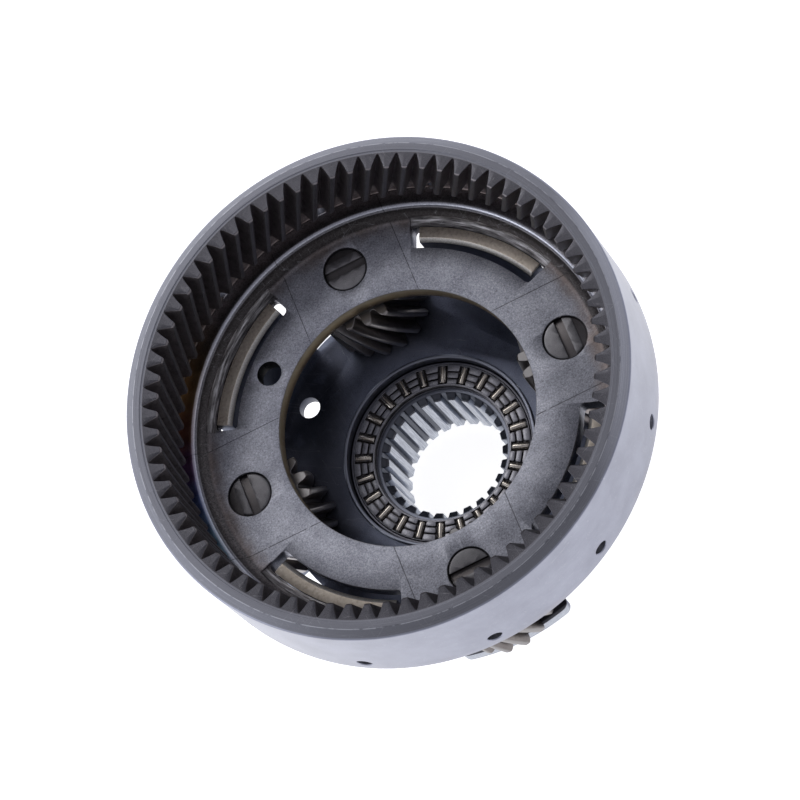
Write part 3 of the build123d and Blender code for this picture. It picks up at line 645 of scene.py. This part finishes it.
def build_drum():
    rear_turn = (80.5 - 61.1) * math.tan(HELIX) / RING_PITCH_R
    up, dn = RP_A, RP_A + rear_turn
    rings = []
    # outer wall from the rear edge to the mouth
    for r, z in ((66.95, 50.8), (67.30, 50.88), (67.45, 51.05), (67.5, 51.35), (67.5, 53.4), (67.5, 58.8), (67.5, 66.0),
                 (67.5, 73.0), (67.5, 78.60), (67.5, 78.75), (67.46, 78.98), (67.33, 79.13), (67.25, 79.1885), (65.40, 80.5415), (65.32, 80.60), (65.16, 80.71), (64.95, 80.7499),
                 (64.86, 80.7499), (64.2, 80.7499), (63.45, 80.7499), (63.36, 80.7499), (63.27, 80.71), (63.22, 80.60), (63.12, 80.52), (62.9, 80.5)):
        rings.append(circle(r, z, up))
    tip = RING_TIP_R
    rings.append(ring_section(80.50, 0.13, tip + 0.50))
    rings.append(ring_section(80.44, 0.04, tip + 0.44))
    rings.append(ring_section(80.32, 0.0, tip + 0.30))
    rings.append(ring_section(80.15, 0.0, tip + 0.12))
    rings.append(ring_section(80.00, 0.0, 0.0))
    for z in np.linspace(78.4, 62.4, 11):
        rings.append(ring_section(z))
    rings.append(ring_section(61.26))
    rings.append(ring_section(61.14, 0.04))
    rings.append(ring_section(61.10, 0.13))
    for r, z in ((62.75, 61.1), (62.9, 60.95), (62.9, 58.8), (62.9, 55.8), (62.86, 55.55), (62.6, 55.4), (62.6, 53.4), (62.6, 51.0), (62.68, 50.85), (62.9, 50.8), (64.5, 50.8)):
        rings.append(circle(r, z, dn))
    ob = ring_loft("ring_gear_drum_skin", rings, 26.0)
    cutters = []
    for k in range(12):
        a = TAU * k / 12
        n = 40
        t = np.arange(n) * TAU / n
        x_dir = np.array([-math.sin(a), math.cos(a), 0.0])
        out = np.array([math.cos(a), math.sin(a), 0.0])
        up_v = np.array([0.0, 0.0, 1.0])
        loops = []
        # a small countersink breaks the edge of each oil hole
        for rad, hr in ((60.5, 2.0), (67.25, 2.0), (67.6, 2.3), (68.5, 2.3)):
            loops.append((out * rad + np.array([0, 0, 56.1]))[None, :] + hr * (np.cos(t)[:, None] * x_dir + np.sin(t)[:, None] * up_v))
        v = np.concatenate(loops) * MM
        f = [tuple(range(n))[::-1]]
        for i in range(3):
            f += [(i * n + j, i * n + (j + 1) % n, (i + 1) * n + (j + 1) % n, (i + 1) * n + j) for j in range(n)]
        f.append(tuple(range(3 * n, 4 * n)))
        me = bpy.data.meshes.new("hole")
        me.from_pydata(v.tolist(), [], f)
        tidy(me)
        cutters.append(link(bpy.data.objects.new("hole", me)))
    cut(ob, [join("holes", cutters)])
    shade(ob.data, 26.0)
    return ob


# ---------------------------------------------------------------- front plate
def arc(r, a0, a1, n):
    return [(r * math.cos(a0 + (a1 - a0) * i / n), r * math.sin(a0 + (a1 - a0) * i / n)) for i in range(n + 1)]


def sector(r0, r1, mid, half_a, corner, n=40):
    inner = arc(r0, mid - half_a, mid + half_a, n)
    outer = arc(r1, mid + half_a, mid - half_a, n)
    # pull the arc ends back so that the corners can be rounded
    def trim(pts, r):
        d = corner / r
        out = []
        for x, y in pts:
            a = math.atan2(y, x) - mid
            a = (a + math.pi) % TAU - math.pi
            if abs(a) <= half_a - d * 0.98:
                out.append((x, y))
        return out
    inner, outer = trim(inner, r0), trim(outer, r1)
    def corner_pts(r, s_r, s_a, rev):
        # quarter round between a radial wall and an arc
        a_c = mid + s_a * (half_a - corner / r)
        r_c = r + s_r * corner
        c = np.array([r_c * math.cos(a_c), r_c * math.sin(a_c)])
        er = np.array([math.cos(a_c), math.sin(a_c)])
        et = np.array([-math.sin(a_c), math.cos(a_c)]) * s_a
        pts = [tuple(c - s_r * er * corner * math.cos(q) + et * corner * math.sin(q)) for q in np.linspace(0, math.pi / 2, 8)]
        return pts[::-1] if rev else pts
    out = inner + corner_pts(r0, 1, 1, False) + corner_pts(r1, -1, 1, True) + outer + corner_pts(r1, -1, -1, False) + corner_pts(r0, 1, -1, True)
    clean = [out[0]]
    for p in out[1:]:
        if math.dist(p, clean[-1]) > 0.05:
            clean.append(p)
    if math.dist(clean[0], clean[-1]) < 0.05:
        clean.pop()
    return clean


def disc(r, cx=0.0, cy=0.0, n=96):
    return [(cx + r * math.cos(TAU * i / n), cy + r * math.sin(TAU * i / n)) for i in range(n)]


def scoop(k):
    """The hollow along a slot's outer edge, its bottom a little uneven."""
    m, n = 48, 40
    mid, h = math.radians(45 + 90 * k), math.radians(22.3)
    v, f = [], []
    for i in range(m + 1):
        a = mid - h + 2 * h * i / m
        # the hollow runs out to a point at each end
        rad = 2.4 * (1.0 - 0.10 * abs(2 * i / m - 1) ** 6) + 0.05 * math.sin(7.0 * a + k) + 0.03 * math.sin(23.0 * a)
        for j in range(n):
            q = TAU * j / n
            rr, zz = 53.4 + rad * math.cos(q), 53.3 + rad * math.sin(q)
            v.append((rr * math.cos(a) * MM, rr * math.sin(a) * MM, zz * MM))
    for i in range(m):
        f += [(i * n + j, i * n + (j + 1) % n, (i + 1) * n + (j + 1) % n, (i + 1) * n + j) for j in range(n)]
    f.append(tuple(range(n))[::-1])
    f.append(tuple(m * n + j for j in range(n)))
    me = bpy.data.meshes.new("scoop")
    me.from_pydata(v, [], f)
    tidy(me)
    return link(bpy.data.objects.new("scoop", me))


def build_plate():
    prof = [(35.1, 47.35), (35.1, 49.5), (35.1, 51.7), (35.2, 51.91), (35.4, 52.0), (42.0, 52.0), (50.0, 52.0), (53.6, 52.0)]
    for q in (10, 20, 30, 40, 50, 60, 68):
        prof.append((53.6 + 4.0 * math.sin(math.radians(q)), 52.0 + 4.0 * (1 - math.cos(math.radians(q)))))
    prof += [(57.5, 54.55), (57.62, 54.85), (57.85, 55.12), (58.2, 55.32), (58.6, 55.4), (59.3, 55.4), (62.3, 55.4), (62.58, 55.2), (62.58, 50.6)]
    for q in (15, 30, 45, 60, 75, 90):
        prof.append((62.58 - 3.5 * (1 - math.cos(math.radians(q))), 50.5 - 3.5 * math.sin(math.radians(q))))
    prof += [(50.0, 47.0), (35.4, 47.0), (35.2, 47.09)]
    ob = lathe("front_carrier_plate_skin", prof, 360, 30.0)
    cutters = [prism("s", sector(46.8, 53.25, math.radians(45 + 90 * k), math.radians(21.9), 1.4), 45.0, 58.0) for k in range(4)]
    cutters += [prism("p", disc(5.9, PIN_C * math.cos(math.radians(90 * k)), PIN_C * math.sin(math.radians(90 * k))), 45.0, 54.0) for k in range(4)]
    cutters.append(prism("h", disc(3.4, 41.25 * math.cos(math.radians(135.6)), 41.25 * math.sin(math.radians(135.6)), 64), 45.0, 54.0))
    cut(ob, [join("cuts", cutters)])
    cut(ob, [join("scoops", [scoop(k) for k in range(4)])])
    tidy(ob.data, 1e-6)
    bevel(ob, 0.2, 2, 40.0)
    return ob


# ---------------------------------------------------------------- pinions
def pinion_profile():
    p = TAU / PINION_TEETH
    rb = PINION_PITCH_R * math.cos(ALPHA_T)
    h = lambda r: half(r, PINION_TEETH, PINION_PITCH_R)
    hb = h(rb + 0.02)
    rr = PINION_ROOT_R
    side = [(rr, p / 2), (rr + 0.02, hb + 0.075), (rr + 0.16, hb + 0.040), (rr + 0.45, hb + 0.018), (rb + 0.02, hb)]
    for r in (13.0, 13.57, 14.1, PINION_TIP_R - 0.25):
        side.append((r, h(r)))
    side += [(PINION_TIP_R - 0.07, h(PINION_TIP_R - 0.07) - 0.004), (PINION_TIP_R, h(PINION_TIP_R) - 0.016)]
    return np.array([(r, -a) for r, a in side] + [(PINION_TIP_R, 0.0)] + [(r, a) for r, a in reversed(side[1:])])


PP = pinion_profile()
PP_R = np.tile(PP[:, 0], PINION_TEETH)
PP_A = np.concatenate([PP[:, 1] + TAU * k / PINION_TEETH for k in range(PINION_TEETH)])
PP_S = np.tile(np.sign(PP[:, 1]), PINION_TEETH)


def build_pinion(i):
    a0 = math.radians(90 * i)
    cx, cy = PIN_C * math.cos(a0), PIN_C * math.sin(a0)
    ph = math.radians(PHASES[i])

    def turn(z):
        return ph + (PINION_FRONT_Z - z) * math.tan(HELIX) / PINION_PITCH_R

    def sec(z, grow=0.0, cap=99.0):
        r = np.minimum(PP_R - grow, cap)
        a = PP_A - PP_S * grow / PP_R + turn(z)
        return np.stack([cx + r * np.cos(a), cy + r * np.sin(a), np.full(len(a), z)], 1)

    def circ(r, z):
        return circle(r, z, PP_A + turn(z), cx, cy)

    f, b, tip = PINION_FRONT_Z, PINION_REAR_Z, PINION_TIP_R
    rings = [circ(8.25, f), circ(9.6, f), circ(11.0, f)]
    rings += [sec(f, 0.10, tip - 0.50), sec(f - 0.05, 0.03, tip - 0.44), sec(f - 0.16, 0.0, tip - 0.32), sec(f - 0.34, 0.0, tip - 0.13), sec(f - 0.5)]
    for z in np.linspace(f - 1.4, b + 1.4, 22):
        rings.append(sec(z))
    rings += [sec(b + 0.5), sec(b + 0.34, 0.0, tip - 0.13), sec(b + 0.16, 0.0, tip - 0.32), sec(b + 0.05, 0.03, tip - 0.44), sec(b, 0.10, tip - 0.50)]
    rings += [circ(11.0, b), circ(9.6, b), circ(8.25, b), circ(7.95, b + 0.3)]
    for z in np.linspace(b + 1.5, f - 1.5, 12):
        rings.append(circ(7.95, z))
    rings.append(circ(7.95, f - 0.3))
    return ring_loft(f"planet_pinion_{i + 1}_skin", rings, 24.0)


# ---------------------------------------------------------------- output hub
def build_hub():
    n = 26
    p = TAU / n
    gap = [(-0.5, 0), (-0.33, 0), (-0.255, 0), (-0.225, 0.12), (-0.155, 0.92), (-0.12, 1.0), (0.0, 1.0), (0.12, 1.0), (0.155, 0.92), (0.225, 0.12), (0.255, 0), (0.33, 0)]
    A = np.concatenate([np.array([g[0] * p for g in gap]) + p * k for k in range(n)])
    W = np.tile(np.array([g[1] for g in gap]), n)

    def spl(z, tip=15.9, root=17.5):
        r = tip + (root - tip) * W
        return np.stack([r * np.cos(A), r * np.sin(A), np.full(len(A), z)], 1)

    outer = [(21.0, -4.1), (21.0, 4.0), (21.0, 13.2), (21.12, 13.75), (21.45, 14.25), (22.0, 14.52), (22.7, 14.6), (24.0, 14.6), (26.2, 14.6), (26.75, 14.8), (26.98, 15.3),
             (26.98, 19.0), (26.98, 22.9), (26.9, 23.15), (26.65, 23.3), (26.25, 23.3), (26.02, 23.2), (25.92, 22.95), (25.9, 19.2), (25.82, 18.85), (25.55, 18.6), (21.0, 18.6), (18.4, 18.6), (17.75, 18.55)]
    rings = [circle(20.2, -5.0, A), circle(20.75, -4.88, A), circle(20.95, -4.6, A)] + [circle(r, z, A) for r, z in outer]
    rings += [spl(18.1, 17.2, 17.65), spl(17.62, 16.2, 17.55), spl(17.25)]
    rings += [spl(z) for z in (13.0, 7.0, 1.0)]
    rings += [spl(-3.7), spl(-4.25, 16.25, 17.55), spl(-4.9, 17.15, 17.6), circle(18.0, -5.0, A), circle(19.1, -5.0, A)]
    return ring_loft("output_hub_skin", rings, 28.0)


# ---------------------------------------------------------------- thrust bearing
def build_race():
    prof = [(18.6, 18.62), (25.3, 18.62), (25.6, 18.9), (25.6, 20.6), (25.0, 20.6), (25.0, 19.4), (18.6, 19.4)]
    return lathe("thrust_bearing_race_skin", soften(prof, [0.15, 0.0, 0.25, 0.18, 0.12, 0.3, 0.15]), 240, 34.0)


N_NEEDLE = 24
NEEDLE_Z = 20.45
NEEDLE_PHASE = math.radians(7.3)


def build_needles():
    segs, loops = 28, []
    t = np.arange(segs) * TAU / segs
    prof = [(19.6, 0.0), (19.6, 0.55), (19.66, 0.82), (19.85, 0.97), (20.1, 1.0), (22.0, 1.0), (23.95, 1.0), (24.2, 0.97), (24.39, 0.82), (24.45, 0.55), (24.45, 0.0)]
    verts, faces = [], []
    for k in range(N_NEEDLE):
        b = NEEDLE_PHASE + TAU * k / N_NEEDLE
        e, s = np.array([math.cos(b), math.sin(b), 0]), np.array([-math.sin(b), math.cos(b), 0])
        base = len(verts)
        for r, h in prof[1:-1]:
            for q in t:
                verts.append((e * r + s * h * math.cos(q) + np.array([0, 0, NEEDLE_Z + h * math.sin(q)])) * MM)
        m = len(prof) - 2
        for i in range(m - 1):
            for j in range(segs):
                faces.append((base + i * segs + j, base + i * segs + (j + 1) % segs, base + (i + 1) * segs + (j + 1) % segs, base + (i + 1) * segs + j))
        faces.append(tuple(base + j for j in range(segs))[::-1])
        faces.append(tuple(base + (m - 1) * segs + j for j in range(segs)))
    me = bpy.data.meshes.new("thrust_bearing_needles_skin")
    me.from_pydata([tuple(v) for v in verts], [], faces)
    tidy(me)
    shade(me, 34.0)
    return link(bpy.data.objects.new("thrust_bearing_needles_skin", me))


def rounded_block(r0, r1, a_mid, w, z0, z1, c=0.16):
    """A raised pad on the cage: a block lying along a radius, with its upper edges rounded."""
    e, s = np.array([math.cos(a_mid), math.sin(a_mid), 0]), np.array([-math.sin(a_mid), math.cos(a_mid), 0])
    loops = []
    for inset, z in ((0.0, z0), (0.0, z1 - c), (0.3 * c, z1 - 0.3 * c), (c, z1)):
        x0, x1 = r0 + inset, r1 - inset
        # the block is a little wider at its outer end
        w0, w1 = w * x0 / r1 / 2 - inset, w * x1 / r1 / 2 - inset
        q = 0.22
        pts = [(x0 + q, -w0), (x1 - q, -w1), (x1, -w1 + q), (x1, w1 - q), (x1 - q, w1), (x0 + q, w0), (x0, w0 - q), (x0, -w0 + q)]
        loops.append([tuple((e * a + s * b + np.array([0, 0, z])) * MM) for a, b in pts])
    v = [p for l in loops for p in l]
    n = 8
    f = [tuple(range(n))[::-1], tuple(range(3 * n, 4 * n))]
    for i in range(3):
        f += [(i * n + j, i * n + (j + 1) % n, (i + 1) * n + (j + 1) % n, (i + 1) * n + j) for j in range(n)]
    return v, f


def build_cage():
    prof = [(18.9, 19.75), (24.8, 19.75), (24.8, 20.95), (24.55, 20.95), (24.55, 20.35), (19.45, 20.35), (19.45, 20.95), (18.9, 20.95)]
    ob = lathe("thrust_bearing_cage_skin", soften(prof, [0.15, 0.15, 0.2, 0.15, 0.1, 0.1, 0.15, 0.2]), 288, 34.0)
    pockets = []
    for k in range(N_NEEDLE):
        b = NEEDLE_PHASE + TAU * k / N_NEEDLE
        e, s = (math.cos(b), math.sin(b)), (-math.sin(b), math.cos(b))
        q = [(19.5, -1.07), (24.53, -1.07), (24.53, 1.07), (19.5, 1.07)]
        pts = round_corners([(e[0] * x + s[0] * y, e[1] * x + s[1] * y) for x, y in q], [0.3] * 4, 4)
        pockets.append(prism("w", pts, 18.9, 22.0))
    cut(ob, [join("pockets", pockets)])
    shade(ob.data, 34.0)
    verts, faces = [], []
    for k in range(N_NEEDLE):
        b = NEEDLE_PHASE + TAU * (k + 0.5) / N_NEEDLE
        for r0, r1, w in ((19.3, 20.6, 2.75), (21.0, 22.5, 3.15), (22.9, 24.62, 3.6)):
            v, f = rounded_block(r0, r1, b, w, 20.0, 21.12)
            n0 = len(verts)
            verts += v
            faces += [tuple(n0 + i for i in q) for q in f]
    me = bpy.data.meshes.new("pads")
    me.from_pydata(verts, [], faces)
    tidy(me)
    shade(me, 34.0)
    pads = link(bpy.data.objects.new("pads", me))
    name = ob.name
    out = join(name + "_x", [ob, pads])
    out.name = name
    shade(out.data, 34.0)
    return out


# ---------------------------------------------------------------- pins, washers, rollers
def build_pin(i):
    a = math.radians(90 * i)
    cx, cy = PIN_C * math.cos(a), PIN_C * math.sin(a)
    prof = [(0.02, 18.95), (1.25, 18.95), (1.55, 18.9), (5.3, 18.9), (5.65, 19.0), (5.82, 19.3), (5.82, 30.0), (5.82, 45.0), (5.82, 51.5), (5.74, 51.78), (5.5, 51.94), (5.15, 52.0), (2.0, 52.0), (0.02, 52.0)]
    segs = 96
    ang = np.arange(segs) * TAU / segs
    verts = [(cx * MM, cy * MM, 18.95 * MM)] + [tuple(p) for r, z in prof[1:-1] for p in circle(r, z, ang, cx, cy) * MM] + [(cx * MM, cy * MM, 52.0 * MM)]
    m = len(prof) - 2
    faces = [(0, 1 + (j + 1) % segs, 1 + j) for j in range(segs)]
    for q in range(m - 1):
        faces += [(1 + q * segs + j, 1 + q * segs + (j + 1) % segs, 1 + (q + 1) * segs + (j + 1) % segs, 1 + (q + 1) * segs + j) for j in range(segs)]
    last = len(verts) - 1
    faces += [(1 + (m - 1) * segs + j, 1 + (m - 1) * segs + (j + 1) % segs, last) for j in range(segs)]
    me = bpy.data.meshes.new("pin")
    me.from_pydata(verts, [], faces)
    tidy(me)
    ob = link(bpy.data.objects.new(f"planet_pin_{i + 1}_skin", me))
    e, s = (math.cos(a), math.sin(a)), (-math.sin(a), math.cos(a))
    # the staking slot runs across the pin, square to the line to the axis
    w = 1.2
    q = [(-w, -7), (w, -7), (w, 7), (-w, 7)]
    slot = prism("slot", [(cx + e[0] * x + s[0] * y, cy + e[1] * x + s[1] * y) for x, y in q], 50.9, 53.0)
    hole = prism("oil", disc(1.25, cx, cy, 40), 17.0, 37.0)
    # and a low flat lies on the side away from the axis
    q = [(3.5, -8), (9, -8), (9, 8), (3.5, 8)]
    flat = prism("flat", [(cx + e[0] * x + s[0] * y, cy + e[1] * x + s[1] * y) for x, y in q], 51.5, 53.0)
    cut(ob, [slot, hole, flat])
    bevel(ob, 0.12, 2, 45.0)
    return ob


def build_washer(name, i, z0, z1):
    a = math.radians(90 * i)
    prof = soften([(5.95, z0), (10.8, z0), (10.8, z1), (5.95, z1)], [0.15, 0.2, 0.2, 0.15])
    return lathe(name, prof, 120, 34.0, PIN_C * math.cos(a), PIN_C * math.sin(a))


def build_rollers(i):
    a = math.radians(90 * i)
    cx, cy = PIN_C * math.cos(a), PIN_C * math.sin(a)
    verts, faces, segs = [], [], 20
    t = np.arange(segs) * TAU / segs
    prof = [(0.5, 24.65), (0.85, 24.75), (0.97, 25.0), (0.97, 34.8), (0.97, 44.7), (0.85, 44.95), (0.5, 45.05)]
    for k in range(21):
        b = TAU * k / 21
        ox, oy = cx + 6.9 * math.cos(b), cy + 6.9 * math.sin(b)
        base = len(verts)
        for r, z in prof:
            verts += [((ox + r * math.cos(q)) * MM, (oy + r * math.sin(q)) * MM, z * MM) for q in t]
        for p in range(len(prof) - 1):
            faces += [(base + p * segs + j, base + p * segs + (j + 1) % segs, base + (p + 1) * segs + (j + 1) % segs, base + (p + 1) * segs + j) for j in range(segs)]
        faces.append(tuple(base + j for j in range(segs))[::-1])
        faces.append(tuple(base + (len(prof) - 1) * segs + j for j in range(segs)))
    me = bpy.data.meshes.new(f"pinion_rollers_{i + 1}_skin")
    me.from_pydata(verts, [], faces)
    tidy(me)
    shade(me, 34.0)
    return link(bpy.data.objects.new(f"pinion_rollers_{i + 1}_skin", me))


# ---------------------------------------------------------------- rear carrier
def build_rear():
    """The stamping: a flat plate with lobes, and the four legs bent up from it."""
    outline = []
    lob, leg = math.radians(16.0), math.radians(19.7)
    for k in range(4):
        c = math.radians(90 * k)
        seg = arc(58.0, c - lob, c + lob, 30)
        outline += [(47.6 * math.cos(c - lob), 47.6 * math.sin(c - lob))] + seg + [(47.6 * math.cos(c + lob), 47.6 * math.sin(c + lob))]
        d = math.radians(90 * k + 45)
        outline += arc(47.6, d - leg - math.radians(3.0), d + leg + math.radians(3.0), 24)
    rad = []
    for x, y in outline:
        rad.append(0.0)
    # round the lobes' outer corners
    n_per = len(outline) // 4
    for k in range(4):
        rad[k * n_per + 1] = 2.2
        rad[k * n_per + 31] = 2.2
    fixed = []
    for k in range(4):
        c = math.radians(90 * k)
        r0 = 2.2
        fixed.append((47.6 * math.cos(c - lob), 47.6 * math.sin(c - lob)))
        pts = arc(58.0, c - lob, c + lob, 60)
        d_a = r0 / 58.0
        keep = [p for p in pts if abs((math.atan2(p[1], p[0]) - c + math.pi) % TAU - math.pi) < lob - d_a * 1.02]
        def quarter(sign, rev):
            a_c = c + sign * (lob - r0 / 58.0)
            r_c = 58.0 - r0
            cc = np.array([r_c * math.cos(a_c), r_c * math.sin(a_c)])
            er = np.array([math.cos(a_c), math.sin(a_c)])
            et = np.array([-math.sin(a_c), math.cos(a_c)]) * sign
            q = [tuple(cc + er * r0 * math.sin(t) + et * r0 * math.cos(t)) for t in np.linspace(0, math.pi / 2, 8)]
            return q[::-1] if rev else q
        fixed += quarter(-1, False) + keep + quarter(1, True)
        fixed.append((47.6 * math.cos(c + lob), 47.6 * math.sin(c + lob)))
        d = math.radians(90 * k + 45)
        fixed += arc(47.6, d - leg - math.radians(3.5), d + leg + math.radians(3.5), 24)
    ob = prism("rear_carrier_skin", fixed, 18.9, 22.7)
    # the bent legs, each a revolved L section, rooted inside the plate
    legs = []
    prof = [(46.2, 18.9), (47.6, 18.9)]
    for q in (15, 30, 45, 60, 75, 90):
        prof.append((47.6 + 5.4 * math.sin(math.radians(q)), 18.9 + 5.4 * (1 - math.cos(math.radians(q)))))
    prof += [(53.0, 36.0), (53.0, 51.0), (50.1, 51.0), (49.0, 50.1), (49.0, 36.0), (49.0, 24.7)]
    for q in (15, 30, 45, 60, 75, 90):
        prof.append((49.0 - 2.0 * (1 - math.cos(math.radians(q))), 24.7 - 2.0 * math.sin(math.radians(q))))
    prof += [(46.2, 22.7)]
    for k in range(4):
        d = math.radians(90 * k + 45)
        n = 48
        v, f = [], []
        for i in range(n + 1):
            a = d - leg + 2 * leg * i / n
            v += [(r * math.cos(a) * MM, r * math.sin(a) * MM, z * MM) for r, z in prof]
        m = len(prof)
        for i in range(n):
            f += [(i * m + j, i * m + (j + 1) % m, (i + 1) * m + (j + 1) % m, (i + 1) * m + j) for j in range(m)]
        f.append(tuple(range(m))[::-1])
        f.append(tuple(n * m + j for j in range(m)))
        me = bpy.data.meshes.new("leg")
        me.from_pydata(v, [], f)
        tidy(me)
        legs.append(link(bpy.data.objects.new("leg", me)))
    md = ob.modifiers.new("legs", "BOOLEAN")
    md.operation = "UNION"
    md.solver = "EXACT"
    tool = join("legs", legs)
    md.object = tool
    bpy.context.view_layer.update()
    apply_mods(ob)
    old = tool.data
    bpy.data.objects.remove(tool)
    bpy.data.meshes.remove(old)
    cutters = [prism("b", disc(27.02, 0, 0, 240), 17.0, 24.0)]
    cutters += [prism("p", disc(5.87, PIN_C * math.cos(math.radians(90 * k)), PIN_C * math.sin(math.radians(90 * k))), 17.0, 24.0) for k in range(4)]
    cutters.append(prism("h", disc(2.94, 40.1 * math.cos(math.radians(135)), 40.1 * math.sin(math.radians(135)), 64), 17.0, 24.0))
    cut(ob, [join("cuts", cutters)])
    tidy(ob.data, 1e-6)
    bevel(ob, 0.3, 2, 40.0)
    return ob


# ---------------------------------------------------------------- assemble
def place(ob, body, node, material):
    ob.data.transform(Matrix.Translation((0.0, 0.0, RISE * MM)))
    ob.data.materials.clear()
    ob.data.materials.append(material)
    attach(ob, body)
    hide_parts(node)


place(build_drum(), "carrier", "ring_gear_drum", mat_drum())
place(build_plate(), "carrier", "front_carrier_plate", mat_plate())
place(build_rear(), "carrier", "rear_carrier", mat_stamped())
place(build_hub(), "carrier", "output_hub", mat_hub())
place(build_race(), "carrier", "thrust_bearing_race", mat_plain("race_metal", (0.09, 0.09, 0.105), (0.17, 0.17, 0.195), (0.30, 0.30, 0.34), 0.24))


def mat_cage():
    m = Mat("cage_metal")
    fine = m.noise(4.0, 4.0, 0.65)
    # painted shade: the cage is painted near black below the pads' tops and pale on them
    high = m.step(m.z, 20.6, 21.0)
    lo = m.ramp(fine, [(0.3, (0.045, 0.042, 0.045)), (0.7, (0.11, 0.105, 0.11))])
    hi = m.ramp(fine, [(0.3, (0.24, 0.24, 0.27)), (0.7, (0.42, 0.42, 0.46))])
    m.bump(fine, 0.015, 0.4)
    return m.done(m.mix(high, lo, hi), m.add(0.30, m.mul(fine, 0.22)))


place(build_cage(), "thrust_cage", "thrust_bearing_cage", mat_cage())
place(build_needles(), "thrust_cage", "thrust_bearing_needles", mat_plain("needle_metal", (0.50, 0.46, 0.41), (0.62, 0.575, 0.52), (0.74, 0.70, 0.65), 0.10, 2.0, bump=0.004))
roller_mat = mat_plain("roller_metal", (0.45, 0.43, 0.40), (0.56, 0.54, 0.51), (0.68, 0.66, 0.63), 0.14, 2.0, 3.0, 0.004)
washer_mat = mat_plain("washer_metal", (0.20, 0.19, 0.18), (0.33, 0.31, 0.29), (0.46, 0.44, 0.41), 0.28)
for i in range(4):
    place(build_pin(i), "carrier", f"planet_pin_{i + 1}", mat_pin(i))
    place(build_pinion(i), f"planet_{i + 1}", f"planet_pinion_{i + 1}", mat_pinion(i))
    place(build_rollers(i), f"rollers_{i + 1}", f"pinion_rollers_{i + 1}", roller_mat)
    place(build_washer(f"pinion_washer_front_{i + 1}_skin", i, 46.22, 46.98), "carrier", f"pinion_washer_front_{i + 1}", washer_mat)
    place(build_washer(f"pinion_washer_rear_{i + 1}_skin", i, 22.72, 23.48), "carrier", f"pinion_washer_rear_{i + 1}", washer_mat)

# ---------------------------------------------------------------- floor, light, camera
scene.view_settings.view_transform = "Standard"
scene.view_settings.look = "None"
scene.view_settings.exposure = 0.0

world = bpy.data.worlds.new("studio")
scene.world = world
world.use_nodes = True
wn = world.node_tree
wn.nodes.clear()
wo = wn.nodes.new("ShaderNodeOutputWorld")
bg = wn.nodes.new("ShaderNodeBackground")
wt = wn.nodes.new("ShaderNodeTexCoord")
ws = wn.nodes.new("ShaderNodeSeparateXYZ")
wr = wn.nodes.new("ShaderNodeValToRGB")
wm = wn.nodes.new("ShaderNodeMath")
wm.operation = "MULTIPLY_ADD"
wm.inputs[1].default_value = 0.5
wm.inputs[2].default_value = 0.5
wn.links.new(wt.outputs["Generated"], ws.inputs[0])
wn.links.new(ws.outputs[2], wm.inputs[0])
wn.links.new(wm.outputs[0], wr.inputs[0])
e = wr.color_ramp.elements
e[0].position, e[0].color = 0.0, (1.0, 1.0, 1.0, 1)
e[1].position, e[1].color = 0.50, (0.96, 0.97, 1.0, 1)
for p, c in ((0.66, (0.80, 0.81, 0.86)), (0.84, (0.34, 0.34, 0.37)), (1.0, (0.26, 0.26, 0.285))):
    q = e.new(p)
    q.color = c + (1,)
wn.links.new(wr.outputs[0], bg.inputs[0])
wn.links.new(bg.outputs[0], wo.inputs[0])

me = bpy.data.meshes.new("floor")
me.from_pydata([(-4, -4, -0.0003), (4, -4, -0.0003), (4, 4, -0.0003), (-4, 4, -0.0003)], [], [(0, 1, 2, 3)])
floor = link(bpy.data.objects.new("floor", me))
fm = bpy.data.materials.new("pale_floor")
fm.use_nodes = True
fb = fm.node_tree.nodes["Principled BSDF"]
fb.inputs["Base Color"].default_value = (0.92, 0.92, 0.93, 1)
fb.inputs["Roughness"].default_value = 0.8
fb.inputs["Emission Color"].default_value = (1, 1, 1, 1)
fb.inputs["Emission Strength"].default_value = 0.88
me.materials.append(fm)


def area(name, loc, target, size, power, color=(1, 1, 1)):
    li = bpy.data.lights.new(name, "AREA")
    li.shape = "DISK"
    li.size = size
    li.energy = power
    li.color = color
    ob = link(bpy.data.objects.new(name, li))
    ob.location = loc
    ob.rotation_euler = (Vector(target) - Vector(loc)).to_track_quat("-Z", "Y").to_euler()
    return ob


area("key", (-0.35, 0.75, 0.85), (0, 0, 0.06), 0.7, 3.0, (1.0, 0.99, 0.975))
area("fill", (-0.75, -0.05, 0.45), (0, 0, 0.06), 0.6, 1.5, (0.95, 0.97, 1.0))

cam = bpy.data.cameras.new("camera")
cam.sensor_width = 36.0
cam.lens = 176.9
cam.clip_start = 0.01
cam.clip_end = 50.0
camera = link(bpy.data.objects.new("camera", cam))
rot = Matrix(((0.885318, 0.441045, 0.147281), (-0.35033, 0.840942, -0.412415), (-0.305748, 0.313521, 0.899012)))
camera.matrix_world = Matrix.Translation((0.151147, -0.417848, 0.973753 + RISE * MM)) @ rot.to_4x4()
scene.camera = camera
